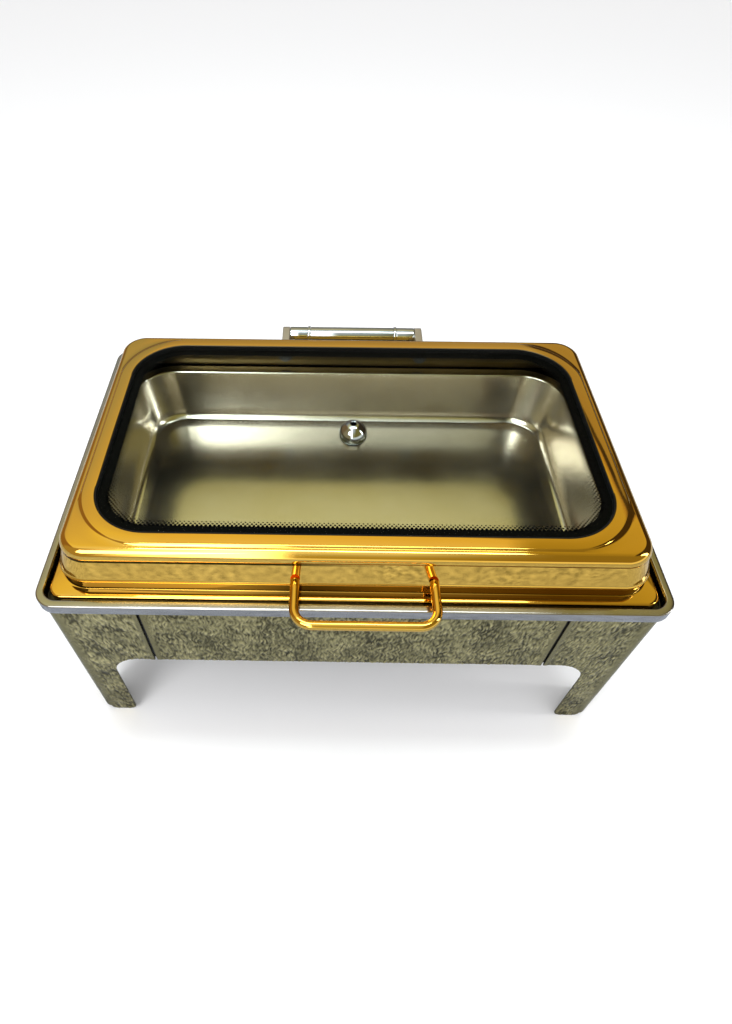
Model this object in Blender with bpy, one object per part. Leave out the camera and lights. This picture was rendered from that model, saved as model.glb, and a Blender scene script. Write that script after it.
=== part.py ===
"""Roll top chafer: a rectangular buffet food warmer with a rear-hinged lid and a glass window.

The stand (hammered legs and panels on an inner frame) carries a drop-in water pan.  The food pan hangs
in the water pan.  The lid turns on a damped hinge tube behind the water pan.  Two fuel holders stand
on a shelf under the water pan.

Frame: X to the right, Y to the back, Z up, origin on the table under the middle of the lid.
Everything is in metres.  Heights that start with Z_ are above the table.
"""

import math

import bmesh
import bpy
from mathutils import Matrix, Vector

MM = 0.001
GAP = 0.3 * MM                        # clearance between neighbouring pieces

# ---------------------------------------------------------------- driving dimensions
RIM_HEIGHT = 237 * MM                 # table to the top of the water pan's rim
STAND_HALF = (280.5 * MM, 180.5 * MM)  # outer faces of the legs and panels
RIM_HALF = (284.5 * MM, 188.5 * MM)   # outer edge of the water pan's rim
RIM_CORNER = 20 * MM
LIP_HEIGHT = 11 * MM                  # folded-down front of the rim
LEDGE_DROP = 10.5 * MM                # ledge under the lid and the food pan, below the rim
WATER_DEPTH = 93 * MM
PAN_HALF = (265 * MM, 162.5 * MM)     # Gastronorm 1/1 food pan, 530 by 325 over its rim
PAN_INNER = (252.5 * MM, 150 * MM)
PAN_CORNER = 47 * MM
PAN_DEPTH = 65 * MM
WINDOW_HALF = (239.2 * MM, 137 * MM)  # opening of the lid
WINDOW_CORNER = 54 * MM
GLASS_THICKNESS = 4 * MM
LID_RISE = 42.2 * MM                  # top of the lid above the rim
SHEET = 2 * MM                        # legs and panels
PRESSED = 1 * MM                      # lid and food pan
WATER_SHEET = 1.2 * MM
LEG_WIDTH = 82.5 * MM                 # width of each flange of a leg
LEG_BEND = 8 * MM
PANEL_DROP = 112 * MM                 # lower edge of the panels, below the rim
FOOT_WIDTH = 36 * MM
ARCH_RADIUS = 30 * MM
FOOT_CORNER = 8 * MM
LEG_GAP = 2.6 * MM                    # slot between a leg and its panel
HANDLE_BAR = 9 * MM
HANDLE_SPACING = 122 * MM             # between the centres of the handle's legs
HANDLE_REACH = 46 * MM
HANDLE_X = 9 * MM
HANDLE_RISE = 13 * MM                 # above the rim
HINGE_X = 4 * MM
HINGE_Y = 203 * MM
HINGE_RISE = 13 * MM
HINGE_RADIUS = 10 * MM
HINGE_HALF = 76 * MM                  # half the length between the hinge arms
KNOB_RADIUS = 14 * MM
KNOB_Y = -12 * MM
FUEL_X = 125 * MM
FUEL_RADIUS = 45 * MM
FUEL_HEIGHT = 50 * MM
SHELF_DROP = 190 * MM                 # top of the fuel shelf, below the rim

Z_RIM = RIM_HEIGHT
Z_STAND_TOP = Z_RIM - LEDGE_DROP - WATER_SHEET - GAP
Z_PANEL_BOTTOM = Z_RIM - PANEL_DROP
Z_LEDGE = Z_RIM - LEDGE_DROP
Z_SHELF = Z_RIM - SHELF_DROP
Z_HINGE = Z_RIM + HINGE_RISE
Z_HANDLE = Z_RIM + HANDLE_RISE
Z_GLASS_TOP = Z_RIM + LID_RISE - 0.4 * MM
Z_GLASS_BOTTOM = Z_GLASS_TOP - GLASS_THICKNESS
CORNER_STEPS = 6
TURN_STEPS = 24

# colour, roughness, metallic
FINISHES = {
    "gold_mirror": ((0.83, 0.55, 0.13), 0.08, 1.0),
    "hammered_gold": ((0.33, 0.29, 0.16), 0.35, 1.0),
    "steel_polished": ((0.74, 0.75, 0.76), 0.12, 1.0),
    "steel_satin": ((0.60, 0.60, 0.57), 0.30, 1.0),
    "steel_plain": ((0.35, 0.35, 0.36), 0.45, 1.0),
    "chrome": ((0.85, 0.86, 0.88), 0.04, 1.0),
    "glass": ((0.80, 0.86, 0.84), 0.02, 0.0),
    "black_rubber": ((0.02, 0.02, 0.02), 0.60, 0.0),
}


# ---------------------------------------------------------------- helpers
def clear_scene():
    for item in list(bpy.data.objects):
        bpy.data.objects.remove(item, do_unlink=True)


def material(finish):
    made = bpy.data.materials.get(finish)
    if made:
        return made
    colour, roughness, metallic = FINISHES[finish]
    made = bpy.data.materials.new(finish)
    made.use_nodes = True
    shader = made.node_tree.nodes["Principled BSDF"]
    shader.inputs["Base Color"].default_value = (*colour, 1.0)
    shader.inputs["Roughness"].default_value = roughness
    shader.inputs["Metallic"].default_value = metallic
    return made


def body_empty(name, place):
    """An empty on a moving body's joint axis; the body's pieces are its children."""
    empty = bpy.data.objects.new(name, None)
    empty.location = place
    bpy.context.scene.collection.objects.link(empty)
    return empty


def place(piece, parent=None, location=(0, 0, 0), rotation=(0, 0, 0)):
    """Put a piece at a world location and hang it under its body's empty."""
    origin = Vector(parent.location) if parent else Vector((0, 0, 0))
    piece.location = Vector(location) - origin
    piece.rotation_euler = rotation
    piece.parent = parent
    return piece


def finish_mesh(bm, name, finish, smooth_angle=40):
    bmesh.ops.recalc_face_normals(bm, faces=bm.faces)
    mesh = bpy.data.meshes.new(name)
    bm.to_mesh(mesh)
    bm.free()
    mesh.shade_smooth()
    mesh.set_sharp_from_angle(angle=math.radians(smooth_angle))
    mesh.materials.append(material(finish))
    piece = bpy.data.objects.new(name, mesh)
    bpy.context.scene.collection.objects.link(piece)
    return piece


def arc(centre, radius, start, end, steps):
    """Points on an arc, angles in degrees."""
    points = []
    for step in range(steps + 1):
        angle = math.radians(start + (end - start) * step / steps)
        points.append((centre[0] + radius * math.cos(angle), centre[1] + radius * math.sin(angle)))
    return points


def rounded_rectangle(half, corner):
    points = []
    for start, sign_x, sign_y in ((0, 1, 1), (90, -1, 1), (180, -1, -1), (270, 1, -1)):
        centre = (sign_x * (half[0] - corner), sign_y * (half[1] - corner))
        points += arc(centre, corner, start, start + 90, CORNER_STEPS)
    return points


def grown(half, amount):
    return (half[0] + amount, half[1] + amount)


def loft(name, finish, rows, ring=False, smooth_angle=40):
    """Bridge rounded rectangles.  A row is (half size, corner radius, height).

    A ring closes on its first row.  Otherwise the first and the last row are capped.
    """
    bm = bmesh.new()
    loops = []
    for half, corner, height in rows:
        loops.append([bm.verts.new((x, y, height)) for x, y in rounded_rectangle(half, corner)])
    pairs = list(zip(loops, loops[1:]))
    if ring:
        pairs.append((loops[-1], loops[0]))
    for lower, upper in pairs:
        for i in range(len(lower)):
            bm.faces.new((lower[i - 1], lower[i], upper[i], upper[i - 1]))
    if not ring:
        bm.faces.new(loops[0])
        bm.faces.new(loops[-1])
    return finish_mesh(bm, name, finish, smooth_angle)


def turned(name, finish, profile, closed=False, steps=TURN_STEPS):
    """Spin a profile of (radius, height) points about Z.  A closed profile makes a ring."""
    bm = bmesh.new()
    verts = [bm.verts.new((radius, 0, height)) for radius, height in profile]
    edges = [bm.edges.new(pair) for pair in zip(verts, verts[1:])]
    if closed:
        edges.append(bm.edges.new((verts[-1], verts[0])))
    bmesh.ops.spin(bm, geom=verts + edges, cent=(0, 0, 0), axis=(0, 0, 1),
                   angle=2 * math.pi, steps=steps, use_merge=True)
    bmesh.ops.remove_doubles(bm, verts=bm.verts, dist=0.01 * MM)
    return finish_mesh(bm, name, finish)


def prism(name, finish, outline, depth):
    """Extrude an outline in the XY plane up by depth."""
    bm = bmesh.new()
    face = bm.faces.new([bm.verts.new((x, y, 0)) for x, y in outline])
    lifted = bmesh.ops.extrude_face_region(bm, geom=[face])["geom"]
    risen = [item for item in lifted if isinstance(item, bmesh.types.BMVert)]
    bmesh.ops.translate(bm, verts=risen, vec=(0, 0, depth))
    return finish_mesh(bm, name, finish)


def cut(piece, cutter):
    """Subtract a hidden cutter, which is placed like the piece itself."""
    cutter.hide_render = True
    cutter.display_type = "WIRE"
    boolean = piece.modifiers.new("cut", "BOOLEAN")
    boolean.operation = "DIFFERENCE"
    boolean.solver = "EXACT"
    boolean.object = cutter


def screw(name, radius, head_height, shank_radius, shank_length):
    """Domed screw: the head is above Z = 0 and the shank below it."""
    dome = arc((0, -radius * 0.5), radius * 1.118, 26.6, 90, 4)
    profile = [(0, -shank_length), (shank_radius, -shank_length), (shank_radius, 0), (radius, 0)]
    profile += [(x, head_height * y / (radius * 0.618)) for x, y in dome[1:-1]]
    profile.append((0, head_height))
    return turned(name, "steel_polished", profile, steps=16)


def washer(name, finish, inner, outer, thickness):
    profile = [(inner, 0), (outer, 0), (outer, thickness), (inner, thickness)]
    return turned(name, finish, profile, closed=True, steps=20)


ALONG_X = (0, math.radians(90), 0)
TOWARDS_FRONT = (math.radians(90), 0, 0)
TOWARDS_BACK = (math.radians(-90), 0, 0)


# ---------------------------------------------------------------- stand
def leg_path(distance, inset):
    """Plan position at a distance along the outer face of a leg bent about its corner.

    Distance 0 is the middle of the bend; the front flange is negative.  Inset goes into the sheet.
    """
    bend_length = LEG_BEND * math.pi / 2
    centre_x = STAND_HALF[0] - LEG_BEND
    centre_y = STAND_HALF[1] - LEG_BEND
    if distance < -bend_length / 2:
        return (centre_x + (distance + bend_length / 2), STAND_HALF[1] - inset)
    if distance > bend_length / 2:
        return (STAND_HALF[0] - inset, centre_y - (distance - bend_length / 2))
    angle = math.radians(45) - distance / LEG_BEND
    radius = LEG_BEND - inset
    return (centre_x + radius * math.cos(angle), centre_y + radius * math.sin(angle))


def leg_outline():
    """Flat blank of a leg as (distance along the bend, height), before it is bent."""
    edge = LEG_WIDTH - LEG_BEND + LEG_BEND * math.pi / 4
    outer = LEG_BEND * math.pi / 4
    foot_outer = outer
    foot_inner = outer + FOOT_WIDTH - LEG_BEND
    half = [(edge, Z_STAND_TOP), (edge, Z_PANEL_BOTTOM)]
    arch = arc((foot_inner + ARCH_RADIUS, Z_PANEL_BOTTOM - ARCH_RADIUS), ARCH_RADIUS, 90, 180, 8)
    half += arch
    half += arc((foot_inner - FOOT_CORNER, FOOT_CORNER), FOOT_CORNER, 0, -90, 4)
    half += arc((foot_outer + FOOT_CORNER, FOOT_CORNER), FOOT_CORNER, 270, 180, 4)
    return half + [(-distance, height) for distance, height in reversed(half)]


def leg_blank(name):
    bm = bmesh.new()
    face = bm.faces.new([bm.verts.new((distance, 0, height)) for distance, height in leg_outline()])
    lifted = bmesh.ops.extrude_face_region(bm, geom=[face])["geom"]
    inner = [item for item in lifted if isinstance(item, bmesh.types.BMVert)]
    bmesh.ops.translate(bm, verts=inner, vec=(0, SHEET, 0))
    bend_half = LEG_BEND * math.pi / 4
    bend_steps = 6
    for step in range(bend_steps + 1):
        fold = -bend_half + 2 * bend_half * step / bend_steps
        geometry = list(bm.verts) + list(bm.edges) + list(bm.faces)
        bmesh.ops.bisect_plane(bm, geom=geometry, dist=0.001 * MM,
                               plane_co=(fold, 0, 0), plane_no=(1, 0, 0))
    for vert in bm.verts:
        vert.co.x, vert.co.y = leg_path(vert.co.x, vert.co.y)
    return finish_mesh(bm, name, "hammered_gold")


def legs():
    for name, sign_x, sign_y in (("leg_rear_right", 1, 1), ("leg_rear_left", -1, 1),
                                 ("leg_front_left", -1, -1), ("leg_front_right", 1, -1)):
        leg = leg_blank(name)
        leg.data.transform(Matrix.Diagonal((sign_x, sign_y, 1, 1)))
        if sign_x * sign_y < 0:
            leg.data.flip_normals()
        foot_pad("foot_pad" + name[3:], sign_x, sign_y)


def foot_pad(name, sign_x, sign_y):
    """Plastic glide pushed into the bottom of a leg's corner, short of the rounded bend."""
    width = 12 * MM
    height = 9 * MM
    stands_out = 0.5 * MM
    chamfer = 5 * MM
    outline = [(0, 0), (width, 0), (width, width - chamfer), (width - chamfer, width), (0, width)]
    pad = prism(name, "black_rubber", outline, height)
    corner = (STAND_HALF[0] - SHEET - GAP - width, STAND_HALF[1] - SHEET - GAP - width)
    pad.data.transform(Matrix.Translation((*corner, -stands_out)))
    pad.data.transform(Matrix.Diagonal((sign_x, sign_y, 1, 1)))
    if sign_x * sign_y < 0:
        pad.data.flip_normals()


def panel(name, length, distance, turn):
    """Sheet panel with a return along its lower edge; turn 0 is the rear side."""
    height = Z_STAND_TOP - Z_PANEL_BOTTOM
    back_flange = 12 * MM
    section = [(0, 0), (0, height), (-SHEET, height), (-SHEET, SHEET), (-back_flange, SHEET), (-back_flange, 0)]
    sheet = prism(name, "hammered_gold", section, length)
    stand_up = Matrix(((0, 0, 1, -length / 2), (1, 0, 0, distance), (0, 1, 0, Z_PANEL_BOTTOM), (0, 0, 0, 1)))
    sheet.data.transform(stand_up)
    return place(sheet, rotation=(0, 0, math.radians(turn)))


def panels():
    front_length = 2 * (STAND_HALF[0] - LEG_WIDTH - LEG_GAP)
    side_length = 2 * (STAND_HALF[1] - LEG_WIDTH - LEG_GAP)
    panel("rear_panel", front_length, STAND_HALF[1], 0)
    panel("front_panel", front_length, STAND_HALF[1], 180)
    panel("left_panel", side_length, STAND_HALF[0], 90)
    panel("right_panel", side_length, STAND_HALF[0], -90)


def stand_frame():
    """Angle ring inside the legs and panels; they are welded to it and the water pan sits on it."""
    outer = grown(STAND_HALF, -SHEET - GAP)
    corner = LEG_BEND - SHEET - GAP
    flange = 11 * MM
    depth = 22 * MM
    inside = grown(outer, -SHEET)
    rows = [
        (outer, corner, Z_STAND_TOP),
        (outer, corner, Z_STAND_TOP - depth),
        (inside, corner - SHEET, Z_STAND_TOP - depth),
        (inside, corner - SHEET, Z_STAND_TOP - SHEET),
        (grown(outer, -flange), 2 * MM, Z_STAND_TOP - SHEET),
        (grown(outer, -flange), 2 * MM, Z_STAND_TOP),
    ]
    frame = loft("stand_frame", "steel_plain", rows, ring=True)
    strap_low = Z_PANEL_BOTTOM + SHEET + GAP
    strap_height = Z_STAND_TOP - depth / 2 - strap_low
    for axis in (0, 1):
        seam = STAND_HALF[axis] - LEG_WIDTH - LEG_GAP / 2
        face = STAND_HALF[1 - axis] - 1.5 * SHEET - GAP
        for side in (-1, 1):
            for along in (-1, 1):
                centre = (along * seam, side * face) if axis == 0 else (side * face, along * seam)
                join(frame, seam_strap(centre, axis, strap_low, strap_height))


def seam_strap(centre, axis, low, height):
    """Strap that hangs from the frame behind the slot between a leg and a panel."""
    half = [7 * MM, SHEET / 2] if axis == 0 else [SHEET / 2, 7 * MM]
    outline = [(-half[0], -half[1]), (half[0], -half[1]), (half[0], half[1]), (-half[0], half[1])]
    strap = prism("seam_strap", "steel_plain", outline, height)
    return place(strap, location=(*centre, low))


def fuel_shelf():
    """Tray between the side panels, hung on its upturned ends, with a round seat for each holder."""
    half_length = STAND_HALF[0] - SHEET - GAP
    half_width = 60 * MM
    end_top = Z_PANEL_BOTTOM + 30 * MM
    clear_of_return = 12 * MM
    low = half_length - clear_of_return
    outline = [
        (-half_length, end_top), (-half_length, Z_PANEL_BOTTOM + 4 * MM), (-low, Z_PANEL_BOTTOM + 4 * MM),
        (-low, Z_SHELF - SHEET), (low, Z_SHELF - SHEET), (low, Z_PANEL_BOTTOM + 4 * MM),
        (half_length, Z_PANEL_BOTTOM + 4 * MM), (half_length, end_top),
        (half_length - SHEET, end_top), (half_length - SHEET, Z_PANEL_BOTTOM + 4 * MM + SHEET),
        (low - SHEET, Z_PANEL_BOTTOM + 4 * MM + SHEET), (low - SHEET, Z_SHELF), (-low + SHEET, Z_SHELF),
        (-low + SHEET, Z_PANEL_BOTTOM + 4 * MM + SHEET), (-half_length + SHEET, Z_PANEL_BOTTOM + 4 * MM + SHEET),
        (-half_length + SHEET, end_top),
    ]
    shelf = prism("fuel_shelf", "steel_plain", outline, 2 * half_width)
    shelf.data.transform(Matrix(((1, 0, 0, 0), (0, 0, -1, half_width), (0, 1, 0, 0), (0, 0, 0, 1))))
    for side in (-1, 1):
        cutter = turned("shelf_seat_cutter", "steel_plain",
                        [(0, -5 * MM), (30 * MM, -5 * MM), (30 * MM, 5 * MM), (0, 5 * MM)])
        cut(shelf, place(cutter, location=(side * FUEL_X, 0, Z_SHELF)))
        for end in (-1, 1):
            bolt_y = end * half_width * 0.7
            bolt_z = Z_PANEL_BOTTOM + 20 * MM
            hole = turned("shelf_hole_cutter", "steel_plain",
                          [(0, -6 * MM), (2.3 * MM, -6 * MM), (2.3 * MM, 6 * MM), (0, 6 * MM)], steps=16)
            cut(shelf, place(hole, location=(side * half_length, bolt_y, bolt_z), rotation=ALONG_X))
            name = "shelf_screw_%s_%s" % ("right" if side > 0 else "left", "rear" if end > 0 else "front")
            bolt = screw(name, 4 * MM, 2.4 * MM, 2 * MM, SHEET)
            turn = (0, math.radians(-90 * side), 0)
            bolt_x = side * (half_length - SHEET - GAP)
            place(bolt, location=(bolt_x, bolt_y, bolt_z), rotation=turn)


# ---------------------------------------------------------------- fuel holders
def fuel_holder(name, cover_name, pin_name, side):
    """Round pot for a fuel can, with a cover that swings aside on a pin."""
    x = side * FUEL_X
    lift = body_empty(name + "_body", (x, 0, Z_SHELF))
    wall = 1.2 * MM
    base = GAP
    spigot = 28 * MM
    spigot_drop = 4 * MM
    top = base + FUEL_HEIGHT
    profile = [
        (0, base - spigot_drop), (spigot, base - spigot_drop), (spigot, base), (FUEL_RADIUS, base),
        (FUEL_RADIUS, top - 2 * MM), (FUEL_RADIUS + 2 * MM, top), (FUEL_RADIUS - wall, top),
        (FUEL_RADIUS - wall, base + wall), (spigot - wall, base + wall),
        (spigot - wall, base - spigot_drop + wall), (0, base - spigot_drop + wall),
    ]
    pot = turned(name, "steel_polished", profile, steps=28)
    place(pot, lift, (x, 0, Z_SHELF))
    ear = prism(name + "_ear", "steel_polished", [(-5 * MM, 0), (5 * MM, 0), (5 * MM, 14 * MM), (-5 * MM, 14 * MM)],
                3 * MM)
    place(ear, lift, (x, FUEL_RADIUS - 1 * MM, Z_SHELF + top - 6 * MM))
    join(pot, ear)
    pin_y = FUEL_RADIUS + 8 * MM
    pin_hole = turned("pin_hole_cutter", "steel_plain",
                      [(0, -9 * MM), (1.8 * MM, -9 * MM), (1.8 * MM, 9 * MM), (0, 9 * MM)], steps=16)
    cut(pot, place(pin_hole, location=(x, pin_y, Z_SHELF + top)))

    swing = body_empty(cover_name + "_body", (x, pin_y, Z_SHELF + top))
    swing.parent = lift
    swing.location = swing.location - lift.location
    cover_z = top + GAP
    rim = [(0, 0), (FUEL_RADIUS + 1 * MM, 0), (FUEL_RADIUS + 1 * MM, 1.5 * MM), (0, 3 * MM)]
    cover = turned(cover_name, "steel_polished", rim, steps=28)
    cover.location = Vector((x, 0, Z_SHELF + cover_z)) - Vector((x, pin_y, Z_SHELF + top))
    cover.parent = swing
    tab_outline = [(-4 * MM, 0), (4 * MM, 0), (4 * MM, 13 * MM), (-4 * MM, 13 * MM)]
    tab = prism(cover_name + "_tab", "steel_polished", tab_outline, 1.5 * MM)
    tab.location = Vector((0, -13 * MM + 4.5 * MM, GAP))
    tab.parent = swing
    join(cover, tab)
    bore = turned("cover_bore_cutter", "steel_plain",
                  [(0, -5 * MM), (1.8 * MM, -5 * MM), (1.8 * MM, 5 * MM), (0, 5 * MM)], steps=16)
    bore.parent = swing
    cut(cover, bore)
    pin = turned(pin_name, "steel_polished", [
        (0, -9 * MM), (1.5 * MM, -9 * MM), (1.5 * MM, 2.1 * MM), (3 * MM, 2.1 * MM), (3 * MM, 3.3 * MM), (0, 3.9 * MM),
    ], steps=16)
    place(pin, lift, (x, pin_y, Z_SHELF + top))


def join(piece, addition):
    """Union a hidden addition into a piece."""
    cut(piece, addition)
    piece.modifiers[-1].operation = "UNION"


# ---------------------------------------------------------------- water pan and food pan
def water_pan(body):
    """Drawn steel basin: folded lip, flat rim, ledge for the lid and the food pan, and the basin."""
    t = WATER_SHEET
    rim_inner = (RIM_HALF[0] - 6.7 * MM, RIM_HALF[1] - 7.5 * MM)
    inner_corner = 14 * MM
    basin = (258 * MM, 155.5 * MM)
    basin_corner = 40 * MM
    floor = Z_RIM - WATER_DEPTH
    draft = 11 * MM
    edge = 1.5 * MM
    rows = [
        (grown(basin, -23 * MM), 25 * MM, floor),
        (grown(basin, -15 * MM), 31 * MM, floor + 2 * MM),
        (grown(basin, -draft), 35 * MM, floor + 8 * MM),
        (basin, basin_corner, Z_LEDGE - 3 * MM),
        (grown(basin, 2 * MM), basin_corner + 2 * MM, Z_LEDGE),
        (grown(rim_inner, -1 * MM), inner_corner, Z_LEDGE),
        (rim_inner, inner_corner, Z_LEDGE + 1 * MM),
        (rim_inner, inner_corner, Z_RIM - edge),
        (grown(rim_inner, 0.4 * edge), inner_corner + 0.4 * edge, Z_RIM - 0.4 * edge),
        (grown(rim_inner, edge), inner_corner + edge, Z_RIM),
        (grown(RIM_HALF, -edge), RIM_CORNER - edge, Z_RIM),
        (grown(RIM_HALF, -0.4 * edge), RIM_CORNER - 0.4 * edge, Z_RIM - 0.4 * edge),
        (RIM_HALF, RIM_CORNER, Z_RIM - edge),
        (RIM_HALF, RIM_CORNER, Z_RIM - LIP_HEIGHT),
        (grown(RIM_HALF, -t), RIM_CORNER - t, Z_RIM - LIP_HEIGHT),
        (grown(RIM_HALF, -t), RIM_CORNER - t, Z_RIM - edge),
        (grown(rim_inner, t), inner_corner + t, Z_RIM - edge),
        (grown(rim_inner, t), inner_corner + t, Z_LEDGE - t),
        (grown(basin, 2 * MM + 0.5 * t), basin_corner + 2 * MM, Z_LEDGE - t),
        (grown(basin, t), basin_corner + t, Z_LEDGE - 3 * MM - 0.5 * t),
        (grown(basin, t - draft), 35 * MM + t, floor + 8 * MM - 0.3 * t),
        (grown(basin, t - 15 * MM), 31 * MM + t, floor + 2 * MM - t),
        (grown(basin, -23 * MM), 25 * MM, floor - t),
    ]
    place(loft("water_pan", "steel_polished", rows), body, body.location)
    bpy.data.objects["water_pan"].data.transform(Matrix.Translation(-body.location))


def food_pan(body):
    """Gastronorm 1/1 pan, 65 mm deep, with a rolled rim that rests on the ledge."""
    t = PRESSED
    top = Z_RIM - 3.5 * MM
    floor = top - PAN_DEPTH
    rim_corner = PAN_CORNER + PAN_HALF[0] - PAN_INNER[0]
    rows = [
        (grown(PAN_INNER, -32 * MM), 22 * MM, floor),
        (grown(PAN_INNER, -24 * MM), 27 * MM, floor + 0.8 * MM),
        (grown(PAN_INNER, -16 * MM), 34 * MM, floor + 4.5 * MM),
        (grown(PAN_INNER, -11 * MM), 38 * MM, floor + 11 * MM),
        (grown(PAN_INNER, -9 * MM), 40 * MM, floor + 18 * MM),
        (grown(PAN_INNER, -1.5 * MM), PAN_CORNER - 1.5 * MM, top - 7 * MM),
        (grown(PAN_INNER, 0.3 * MM), PAN_CORNER, top - 2 * MM),
        (grown(PAN_INNER, 2.5 * MM), PAN_CORNER + 2.5 * MM, top),
        (grown(PAN_HALF, -2.5 * MM), rim_corner - 2.5 * MM, top),
        (grown(PAN_HALF, -0.7 * MM), rim_corner - 0.7 * MM, top - 0.7 * MM),
        (PAN_HALF, rim_corner, top - 2.5 * MM),
        (PAN_HALF, rim_corner, Z_LEDGE + GAP),
        (grown(PAN_HALF, -t), rim_corner - t, Z_LEDGE + GAP),
        (grown(PAN_HALF, -t), rim_corner - t, top - 2.5 * MM),
        (grown(PAN_HALF, -2.5 * MM), rim_corner - 2.5 * MM, top - t),
        (grown(PAN_INNER, 2.5 * MM + 0.5 * t), PAN_CORNER + 2.5 * MM, top - t),
        (grown(PAN_INNER, 0.3 * MM + t), PAN_CORNER + t, top - 2.5 * MM),
        (grown(PAN_INNER, -1.5 * MM + t), PAN_CORNER - 0.5 * MM, top - 7 * MM),
        (grown(PAN_INNER, -9 * MM + t), 40 * MM + t, floor + 18 * MM),
        (grown(PAN_INNER, -11 * MM + t), 38 * MM + t, floor + 10.5 * MM),
        (grown(PAN_INNER, -16 * MM + 0.8 * t), 34 * MM + t, floor + 4.5 * MM - 0.8 * t),
        (grown(PAN_INNER, -24 * MM), 27 * MM, floor + 0.8 * MM - t),
        (grown(PAN_INNER, -32 * MM), 22 * MM, floor - t),
    ]
    place(loft("food_pan", "steel_satin", rows), body, body.location)
    bpy.data.objects["food_pan"].data.transform(Matrix.Translation(-body.location))


# ---------------------------------------------------------------- lid
SHOULDER_HALF = (262 * MM, 160 * MM)  # widest part of the lid's shoulder
SHOULDER_CORNER = 27 * MM
TOP_CORNER = 17.5 * MM                # where the roll of the shoulder starts
SHOULDER_RISE = 28 * MM
WALL_HALF = (267.5 * MM, 165.5 * MM)  # foot of the sloping wall
WALL_RISE = 8.5 * MM
WALL_CORNER = 36 * MM
FLANGE_HALF = (275.8 * MM, 175 * MM)
CREASE = 12 * MM                      # width of the raised flat band round the window
BAND_FALL = 0.6 * MM                  # how far the band falls from the window to its edge
STEP = 1.4 * MM                       # width and height of the step down from the band
REBATE = 6.5 * MM                     # ledge under the glass
SHOULDER_STEPS = 6


def shoulder_rows(inset):
    """Quarter-ellipse roll from the flat top to the widest part; inset goes into the sheet."""
    top_half = grown(WINDOW_HALF, CREASE + STEP + 0.5 * MM)
    rise = LID_RISE - BAND_FALL - STEP - 0.2 * MM - SHOULDER_RISE - inset
    rows = []
    for step in range(SHOULDER_STEPS + 1):
        angle = math.radians(90 * step / SHOULDER_STEPS)
        across = math.sin(angle)
        half = tuple(inner + (outer - inset - inner) * across
                     for inner, outer in zip(top_half, SHOULDER_HALF))
        corner = TOP_CORNER + (SHOULDER_CORNER - inset - TOP_CORNER) * across
        rows.append((half, corner, Z_RIM + SHOULDER_RISE + rise * math.cos(angle)))
    return rows


def lid_rows():
    t = PRESSED
    z = Z_RIM
    wall_corner = WALL_CORNER
    flange_corner = 14 * MM
    bead = grown(WALL_HALF, 0.6 * MM)
    step_half = grown(WALL_HALF, -0.5 * MM)
    foot = grown(WALL_HALF, 1 * MM)
    hem_bottom = Z_LEDGE + GAP
    ledge_top = Z_GLASS_BOTTOM - 0.9 * MM
    window_inner = grown(WINDOW_HALF, -REBATE)
    rows = [
        (window_inner, WINDOW_CORNER - REBATE, ledge_top),
        (WINDOW_HALF, WINDOW_CORNER, ledge_top),
        (WINDOW_HALF, WINDOW_CORNER, z + LID_RISE - 0.6 * MM),
        (grown(WINDOW_HALF, 0.6 * MM), WINDOW_CORNER + 0.6 * MM, z + LID_RISE),
        (grown(WINDOW_HALF, CREASE), WINDOW_CORNER + CREASE, z + LID_RISE - BAND_FALL),
        (grown(WINDOW_HALF, CREASE + STEP), WINDOW_CORNER + CREASE + STEP, z + LID_RISE - BAND_FALL - STEP),
    ]
    rows += shoulder_rows(0)
    rows += [
        (WALL_HALF, wall_corner, z + WALL_RISE),
        (bead, wall_corner, z + WALL_RISE - 1.5 * MM),
        (step_half, wall_corner, z + WALL_RISE - 3 * MM),
        (step_half, wall_corner, z - 2.5 * MM),
        (foot, wall_corner - 2 * MM, z - 4.2 * MM),
        (grown(FLANGE_HALF, -1.8 * MM), flange_corner - 1.8 * MM, z - 4.5 * MM),
        (grown(FLANGE_HALF, -0.5 * MM), flange_corner - 0.5 * MM, z - 5 * MM),
        (FLANGE_HALF, flange_corner, z - 6.3 * MM),
        (FLANGE_HALF, flange_corner, hem_bottom),
        (grown(FLANGE_HALF, -t), flange_corner - t, hem_bottom),
        (grown(FLANGE_HALF, -t), flange_corner - t, z - 6.5 * MM),
        (grown(FLANGE_HALF, -2 * t), flange_corner - 2 * t, z - 5.5 * MM),
        (grown(foot, -0.5 * t), wall_corner - 2.5 * MM, z - 4.2 * MM - t),
        (grown(step_half, -t), wall_corner - t, z - 3 * MM),
        (grown(step_half, -t), wall_corner - t, z + WALL_RISE - 2.8 * MM),
        (grown(WALL_HALF, -t), wall_corner - t, z + WALL_RISE),
    ]
    rows += list(reversed(shoulder_rows(t)))
    rows += [
        (grown(WINDOW_HALF, CREASE + STEP - 0.4 * t), WINDOW_CORNER + CREASE + STEP - 0.4 * t,
         z + LID_RISE - BAND_FALL - STEP - t),
        (grown(WINDOW_HALF, CREASE - 0.4 * t), WINDOW_CORNER + CREASE - 0.4 * t, z + LID_RISE - BAND_FALL - t),
        (grown(WINDOW_HALF, t), WINDOW_CORNER + t, z + LID_RISE - 1.4 * MM),
        (grown(WINDOW_HALF, t), WINDOW_CORNER + t, ledge_top - t),
        (window_inner, WINDOW_CORNER - REBATE, ledge_top - t),
    ]
    return rows


def wall_y(height):
    """Half depth of the lid's sloping wall at a height above the rim."""
    share = (SHOULDER_RISE - height) / (SHOULDER_RISE - WALL_RISE)
    return SHOULDER_HALF[1] + (WALL_HALF[1] - SHOULDER_HALF[1]) * share


WALL_LEAN = math.atan((WALL_HALF[1] - SHOULDER_HALF[1]) / (SHOULDER_RISE - WALL_RISE))


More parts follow.
